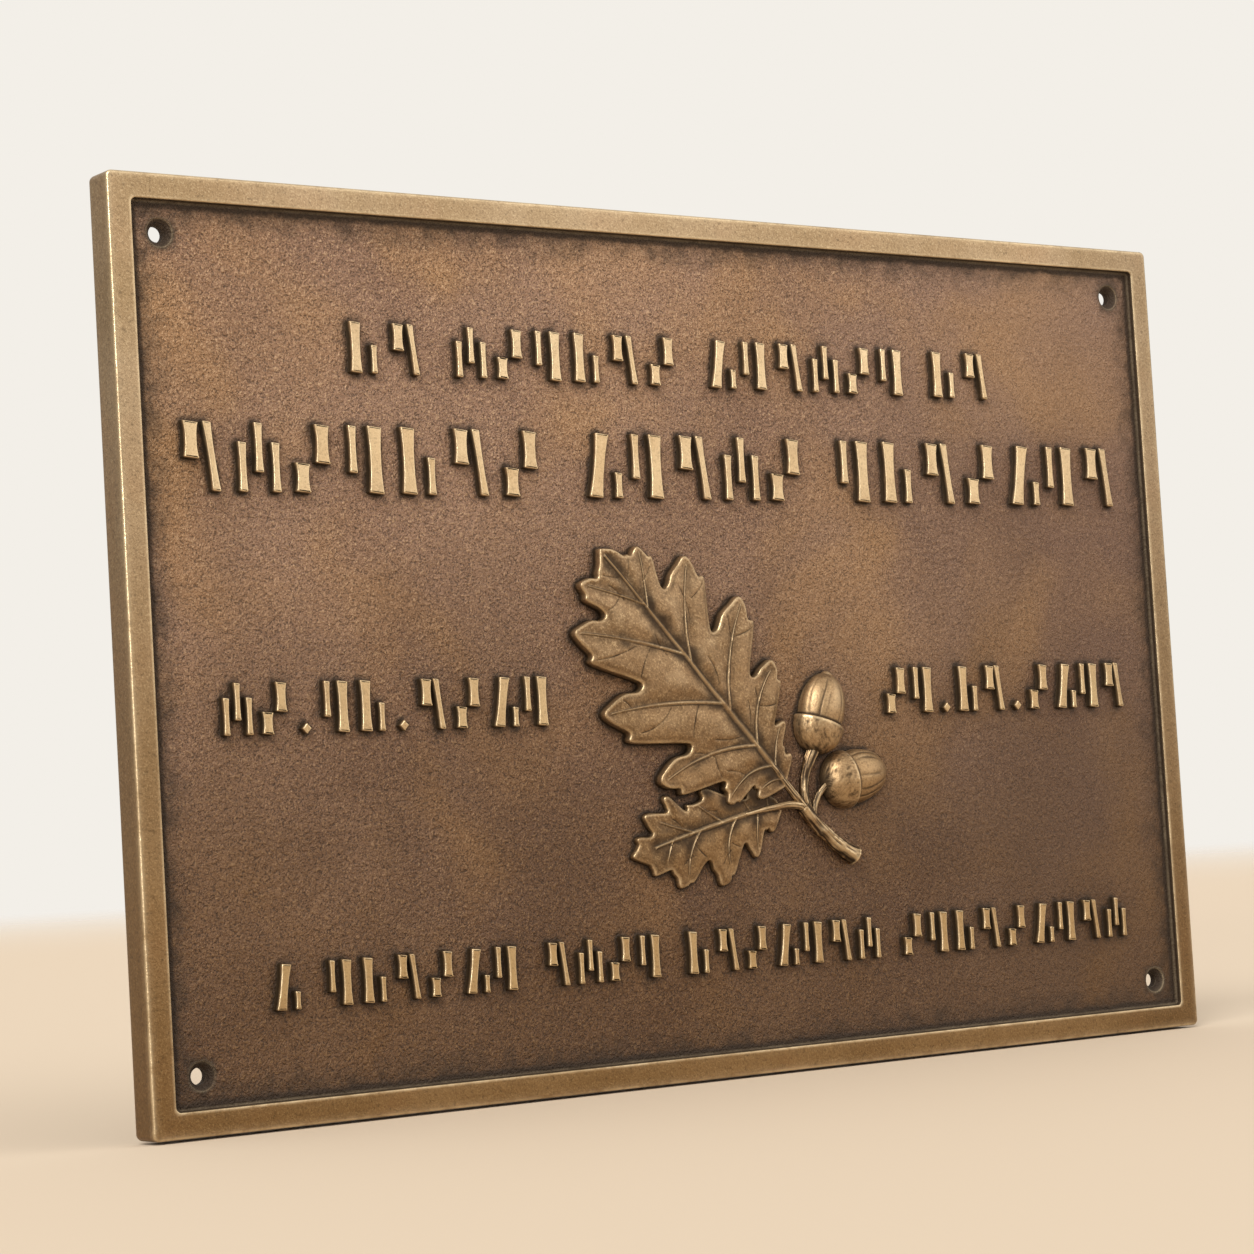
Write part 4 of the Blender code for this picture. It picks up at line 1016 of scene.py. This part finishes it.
def buildAcorn(name, across, up, angle, seed, material):
    # a solid of revolution about the acorn's own axis, ridged along the nut and scaly on the cup,
    # flattened against the field and closed flat below it
    a = acorn
    around, alongNut, alongCup = 132, 84, 52
    u = np.linspace(0, 2 * np.pi, around, endpoint=False)[None]
    random = np.random.default_rng(seed)
    # nut: from inside the cup's mouth to a small round bud at the point
    share = np.concatenate([np.linspace(0, 0.955, alongNut - 16), np.linspace(0.96, 1, 16)])[:, None]
    nutLength = a["length"] - a["cup"] + a["sunk"] - a["nub"]
    radius = a["nutRadius"] * np.clip(1 - share ** 3.1, 0, 1) ** 0.52 * (0.90 + 0.10 * ease(0.0, 0.40, share))
    tip = np.clip((share - 0.962) / 0.038, 0, 1)
    radius = np.maximum(radius, 1.0 * np.sqrt(np.clip(1 - tip ** 2.6, 0, 1)) * (tip > 0))
    groove = np.zeros((alongNut, around))
    turns = np.arange(0, 2 * np.pi, 2 * np.pi / a["grooves"]) + random.uniform(-0.13, 0.13, a["grooves"])
    for phase in turns:
        drift = phase + 0.05 * np.sin(share * 5 + phase * 3)
        off = np.angle(np.exp(1j * (u - drift)))
        long = ease(0.02, 0.2, share) * ease(0.97, 0.66 + 0.16 * random.uniform(-1, 1), share)
        groove = np.maximum(groove, bell(off * radius, 0.34) * long * random.uniform(0.35, 1.0))
    swell = valueNoise(u * 2.2 + 4 + 0 * share, share * 1.6 + 0 * u, 1.0, seed + 9)
    nutRadius = radius + (0.12 * swell - 0.20 * groove) * ease(1.0, 2.5, radius)
    along = a["cup"] - a["sunk"] + nutLength * share + a["nub"] * ease(0.965, 1.0, share)
    mouth = bell(share * nutLength - 2.15, 0.62)      # painted shade under the cup's lip, with patina in the seam
    end = 0.25 * ease(0.80, 0.95, share) * (1 - tip) ** 0.5
    # the nut's dark mark: patina with painted shade in the grooves and under the lip, darker towards the point
    nutGrime = np.maximum(np.maximum(0.72 * groove * (radius > 1.0), mouth), end) + 0.10 * ease(0.1, -0.8, swell)
    nutWear = 0.45 * np.clip(1 - groove * 2, 0, 1) * ease(-0.3, 0.7, swell) * ease(0.12, 0.4, share) \
        * ease(1.0, 0.8, share) + 0.9 * ease(0.1, 0.5, tip)
    parts = [(nutRadius, along, nutGrime, nutWear)]
    # cup: from the foot up over its lip and a little way down inside
    s = np.linspace(0, 1, alongCup)[:, None]
    outerShare, lip = np.clip(s / a["lipAt"], 0, 1), np.clip((s - a["lipAt"]) / (1 - a["lipAt"]), 0, 1)
    radius = a["cupRadius"] * (1 - (1 - outerShare) ** 2.3) ** 0.5 - 0.95 * lip ** 1.2
    along = a["cup"] * outerShare + 0.42 * np.sin(np.clip(lip * 1.3, 0, 1) * np.pi) - 0.9 * np.clip(lip - 0.5, 0, 1)
    everyOther = np.where(np.floor(outerShare * 8) % 2 > 0, np.pi, 0)
    scales = np.sin(u * 17 + everyOther) * np.sin(outerShare * 8 * np.pi)
    rough = 0.022 * scales + 0.030 * valueNoise(u * radius + 50, along + 0 * u, 1.0, seed + 5) \
        + 0.050 * valueNoise(u * radius * 1.6 + 9, along * 0.7 + 0 * u, 0.5, seed + 6)
    rough = rough * ease(0.0, 0.15, outerShare) * (1 - lip)
    # the cup's dark mark: patina with painted shade in its roughness, inside the lip and at its foot
    cupGrime = np.clip(0.25 - rough * 6.0, 0, 0.7) * (1 - lip) + ease(0.3, 0.7, lip) + 0.5 * ease(0.25, 0.0, outerShare)
    cupWear = np.clip(0.14 + rough * 5.0, 0, 0.6) * (1 - lip) + bell(s - a["lipAt"], 0.035)
    parts.append((radius + rough, along, cupGrime, cupWear))
    out, aside = direction(angle)
    foot = joint + np.array([across, up])
    blocks, faces, dark, bright, total = [], [], [], [], 0
    for radius, along, patinaAndShade, worn in parts:
        high = np.maximum(radius * np.sin(u) * a["flatten"] + a["lift"], -0.45)
        flat = foot + along[..., None] * out + (radius * np.cos(u))[..., None] * aside
        block = atDepth(flat, fieldY - high)
        # painted shade where the acorn meets the field: the dark mark raised, the rubbed brightness taken away
        low = ease(0.75, -0.1, high)
        centres = block[[0, -1]].mean(1)      # both ends are closed on a point
        blocks += [block.reshape(-1, 3), centres]
        dark += [np.maximum(np.clip(patinaAndShade, 0, 1), 0.95 * low).ravel(), [0.6, 0.6]]
        bright += [(np.clip(worn, 0, 1) * (1 - low)).ravel(), [0.0, 0.0]]
        faces.append(gridFaces(len(block), around, total, closed=True))
        point = total + len(block) * around
        for first in (total, point - around):
            faces.append(np.column_stack([loopEdges(around, first), np.full(around, point)]))
            point += 1
        total = point
    shades = {"patinaAndShade": np.concatenate(dark), "wear": np.concatenate(bright)}
    return meshPiece(name, np.concatenate(blocks), faces, shades, material, sharp=50)



nutBronze = bronze("acornBronze", nutLook)
for seed, (name, place) in enumerate(acorn["places"].items()):
    buildAcorn(name + "Acorn", *place, 40 + seed, nutBronze)

print("twig and stalks")

twig = {
    "length": 19.5, "angle": -39.6, "bow": -0.05, "lift": 1.6, "radii": (1.70, 1.62, 1.56, 1.66, 1.80, 2.00, 2.30),
    "petioleLift": 1.9, "petioleRadii": (0.55, 0.68, 0.80, 0.95, 1.06, 1.15, 1.2),
    "stalkLift": 1.2, "stalkSwell": (1.0, 1.0, 1.0, 1.02, 1.08, 1.25, 1.45),
    "stalks": {"upright": (1.1, (-2.2, 4.0)), "level": (0.75, (3.6, 2.8))},      # radius, the point it bends towards
}
twigBronze = bronze("twigBronze", twigLook)


def sweepBar(name, route, radii, lifts, ridges=0.06, cutEnd=False, seed=0, flatten=0.95):
    # a round bar along a flat route, with its own radius and height at each point; ends are closed
    around = 40
    count = max(24, int(np.hypot(*np.diff(route, axis=0).T).sum() / 0.28))
    at = readAlong(catmullRom(route, 12), count)
    radius, lift = readAlong(np.stack([radii, lifts], 1), count).T[..., None]
    way = np.gradient(at, axis=0)
    way /= np.linalg.norm(way, axis=1, keepdims=True)
    side = np.stack([-way[:, 1], way[:, 0]], 1)
    u = np.linspace(0, 2 * np.pi, around, endpoint=False)[None]
    length = np.linspace(0, 1, count)[:, None] * np.hypot(*np.diff(at, axis=0).T).sum()
    fibres = valueNoise(u * 2.6 + 30 + 0 * length, length / 9 + 0 * u, 0.42, 60 + seed)
    bark = valueNoise(u * 1.4 + 10 + 0 * length, length + 0 * u, 0.8, 70 + seed)
    r = radius * (1 + ridges * fibres + 0.05 * bark)
    if cutEnd:      # the twig has one knot and a swollen cut end
        r += radius * 0.30 * bell(length - 7.4, 0.9) * bell(np.angle(np.exp(1j * (u - 2.5))), 0.9)
        r[-4:] *= np.array([1.05, 1.10, 1.08, 1.0])[:, None]
    high = np.maximum(r * np.sin(u) * flatten + lift, -0.45)
    flat = at[:, None, :] + (r * np.cos(u))[..., None] * side[:, None, :]
    block = atDepth(flat, fieldY - high)
    # painted shade where the bar meets the field: the dark mark raised, the rubbed brightness taken away
    low = ease(1.3, 0.15, high)
    dark = np.maximum(np.clip(0.32 - 1.8 * fibres - 0.3 * bark, 0, 0.9), low)
    bright = np.clip(0.35 + 0.8 * fibres, 0, 0.9) * ease(-0.1, 0.9, np.sin(u) + 0 * length) * (1 - low)
    if cutEnd:
        bright[-3:] = 0.85
    blocks, faces = [block.reshape(-1, 3)], [gridFaces(count, around, closed=True)]
    dark, bright, total = [dark.ravel()], [bright.ravel()], count * around
    # each end: rings drawn in and pushed out, then a point; the twig's cut end is dished
    for row, sign in ((0, -1), (-1, 1)):
        rounded = ((0.7, 0.25, 0.4, 0), (0.35, 0.4, 0.4, 0))      # width, push, patina with painted shade, wear
        dished = ((0.80, 0.10, 0.2, 0.6), (0.70, -0.15, 0.75, 0.0), (0.35, -0.30, 0.6, 0.1))
        steps = dished if cutEnd and sign > 0 else rounded
        middle = block[row].mean(0)
        push = np.array([way[row][0], 0, way[row][1]]) * sign * radius[row] * 0.8
        last = (row % count) * around
        for width, forward, patinaAndShade, worn in steps:
            blocks.append(middle + (block[row] - middle) * width + push * forward)
            faces.append(np.column_stack([loopEdges(around, last), loopEdges(around, total)[:, ::-1]]))
            dark.append(np.full(around, patinaAndShade))
            bright.append(np.full(around, worn))
            last, total = total, total + around
        blocks.append((middle + push * steps[-1][1])[None])
        faces.append(np.column_stack([loopEdges(around, last), np.full(around, total)]))
        dark.append([0.7])
        bright.append([0.0])
        total += 1
    shades = {"patinaAndShade": np.concatenate(dark), "wear": np.concatenate(bright)}
    return meshPiece(name, np.concatenate(blocks), faces, shades, twigBronze, sharp=50)


def bendThrough(start, control, end, count=7):
    # a parabola from start to end, drawn towards the control point
    t = np.linspace(0, 1, count)[:, None]
    return start * (1 - t) ** 2 + control * 2 * t * (1 - t) + end * t * t


twigWay, twigSide = (step * twig["length"] for step in direction(twig["angle"]))
route = bendThrough(joint, joint + twigWay / 2 + twigSide * twig["bow"] * 2, joint + twigWay)
sweepBar("twig", route, twig["radii"], np.full(7, twig["lift"]), ridges=0.12, cutEnd=True, seed=1)


def petiole(name, leaf, seed):
    # the bare stalk between a leaf's blade and the joint
    reach = leaf["right"][-1][0] / 100
    rib = onRib(leaf, np.array([1.5, 1.25, 1.0, 0.66, 0.33, 0.0]) * reach)
    top, middle = leaf["lift"] + 0.55, twig["petioleLift"]
    lifts = [top - 0.65, top - 0.35, middle + 0.1, middle + 0.05, middle, middle - 0.1, twig["lift"]]
    flat = onFace(leaf, np.concatenate([rib, [[-0.9, 0.0]]]))
    sweepBar(name, flat, twig["petioleRadii"], lifts, ridges=0.05, seed=seed)


petiole("smallLeafStalk", smallLeaf, 2)
petiole("bigLeafStalk", bigLeaf, 3)

for seed, (name, (thick, control)) in enumerate(twig["stalks"].items()):
    across, up, angle = acorn["places"][name]
    end = joint + np.array([across, up]) + direction(angle)[0] * acorn["cup"] * 0.2
    route = bendThrough(joint + twigWay * 0.22, joint + np.array(control), end)
    radii = np.array(twig["stalkSwell"]) * thick
    sweepBar(name + "Stalk", route, radii, np.full(7, twig["stalkLift"]), ridges=0.08, seed=4 + seed)

print("floor, light and camera")

stage = {
    "floor": (204, 187, 166), "background": (243, 239, 232), "light": (250, 246, 240),
    "size": 60.0, "gap": 0.0006, "fadeFrom": 1.6, "fadeTo": 5.0,      # metres
}
floorMesh = bpy.data.meshes.new("floor")
half, level = stage["size"] / 2, -plate["halfHeight"] * mm - stage["gap"]
corners = [(-half, -half, level), (half, -half, level), (half, half, level), (-half, half, level)]
floorMesh.from_pydata(corners, [], [(0, 1, 2, 3)])
floor = bpy.data.objects.new("floor", floorMesh)
scene.collection.objects.link(floor)
floorLook = bpy.data.materials.new("paleFloor")
floorLook.use_nodes = True
b = Bench(floorLook.node_tree)
shader = floorLook.node_tree.nodes["Principled BSDF"]
place = b.put("ShaderNodeTexCoord").outputs["Object"]
distance = b.put("ShaderNodeVectorMath", {0: place}, operation="LENGTH").outputs["Value"]
fade = b.between(distance, stage["fadeFrom"], stage["fadeTo"], 1.0, 0.0)      # so no far edge shows
floorLook.node_tree.links.new(fade, shader.inputs["Alpha"])
shader.inputs["Base Color"].default_value = tone(*stage["floor"])
shader.inputs["Roughness"].default_value = 0.8
shader.inputs["Specular IOR Level"].default_value = 0.1
floorMesh.materials.append(floorLook)

# a pale even background for the eye, and a studio that is brighter above and in front for the light
world = bpy.data.worlds.new("paleStudio")
world.use_nodes = True
tree = world.node_tree
b = Bench(tree)
shown, shone = tree.nodes["Background"], b.put("ShaderNodeBackground")
shown.inputs["Color"].default_value = tone(*stage["background"])
shone.inputs["Color"].default_value = tone(*stage["light"])
sky = b.put("ShaderNodeSeparateXYZ", {0: b.put("ShaderNodeTexCoord").outputs["Generated"]}).outputs
upper = b.between(sky["Z"], -0.25, 1.0, 0.0, 0.55)
front = b.between(sky["Y"], 1.0, -1.0, 0.36, 0.62)
tree.links.new(b.maths("ADD", upper, front), shone.inputs["Strength"])
blend = b.put("ShaderNodeMixShader", {0: b.put("ShaderNodeLightPath").outputs["Is Camera Ray"]})
tree.links.new(shone.outputs[0], blend.inputs[1])
tree.links.new(shown.outputs[0], blend.inputs[2])
tree.links.new(blend.outputs[0], tree.nodes["World Output"].inputs["Surface"])
scene.world = world


def softSun(name, toward, angle, strength, colour):
    # a very wide sun stands for a soft box and lights the floor evenly
    data = bpy.data.lights.new(name, "SUN")
    data.angle = math.radians(angle)
    data.energy = strength
    data.color = colour
    lamp = bpy.data.objects.new(name, data)
    lamp.rotation_euler = Vector(toward).to_track_quat("Z", "Y").to_euler()
    scene.collection.objects.link(lamp)


softSun("keyLight", (-0.75, -0.60, 0.95), 28, 1.9, (1.0, 0.985, 0.95))
softSun("edgeLight", (-0.85, -0.75, 0.22), 9, 0.75, (1.0, 0.985, 0.95))
softSun("fillLight", (0.80, -0.85, 0.40), 50, 0.7, (1.0, 0.985, 0.96))

camera = {"place": (-0.4749, -0.6226, -0.0460), "back": (-0.59057, -0.80434, -0.06530),
          "up": (0.00930, -0.08770, 0.99610), "lens": 94.99}
back = Vector(camera["back"]).normalized()
right = Vector(camera["up"]).cross(back).normalized()
upward = back.cross(right)
cameraData = bpy.data.cameras.new("camera")
cameraData.lens = camera["lens"]
cameraData.sensor_width = 36.0
cameraData.sensor_fit = "HORIZONTAL"
cameraData.clip_start = 0.01
cameraObject = bpy.data.objects.new("camera", cameraData)
cameraObject.matrix_world = Matrix.Translation(camera["place"]) @ Matrix((right, upward, back)).transposed().to_4x4()
scene.collection.objects.link(cameraObject)
scene.camera = cameraObject
scene.view_settings.view_transform = "Standard"

bpy.context.view_layer.update()
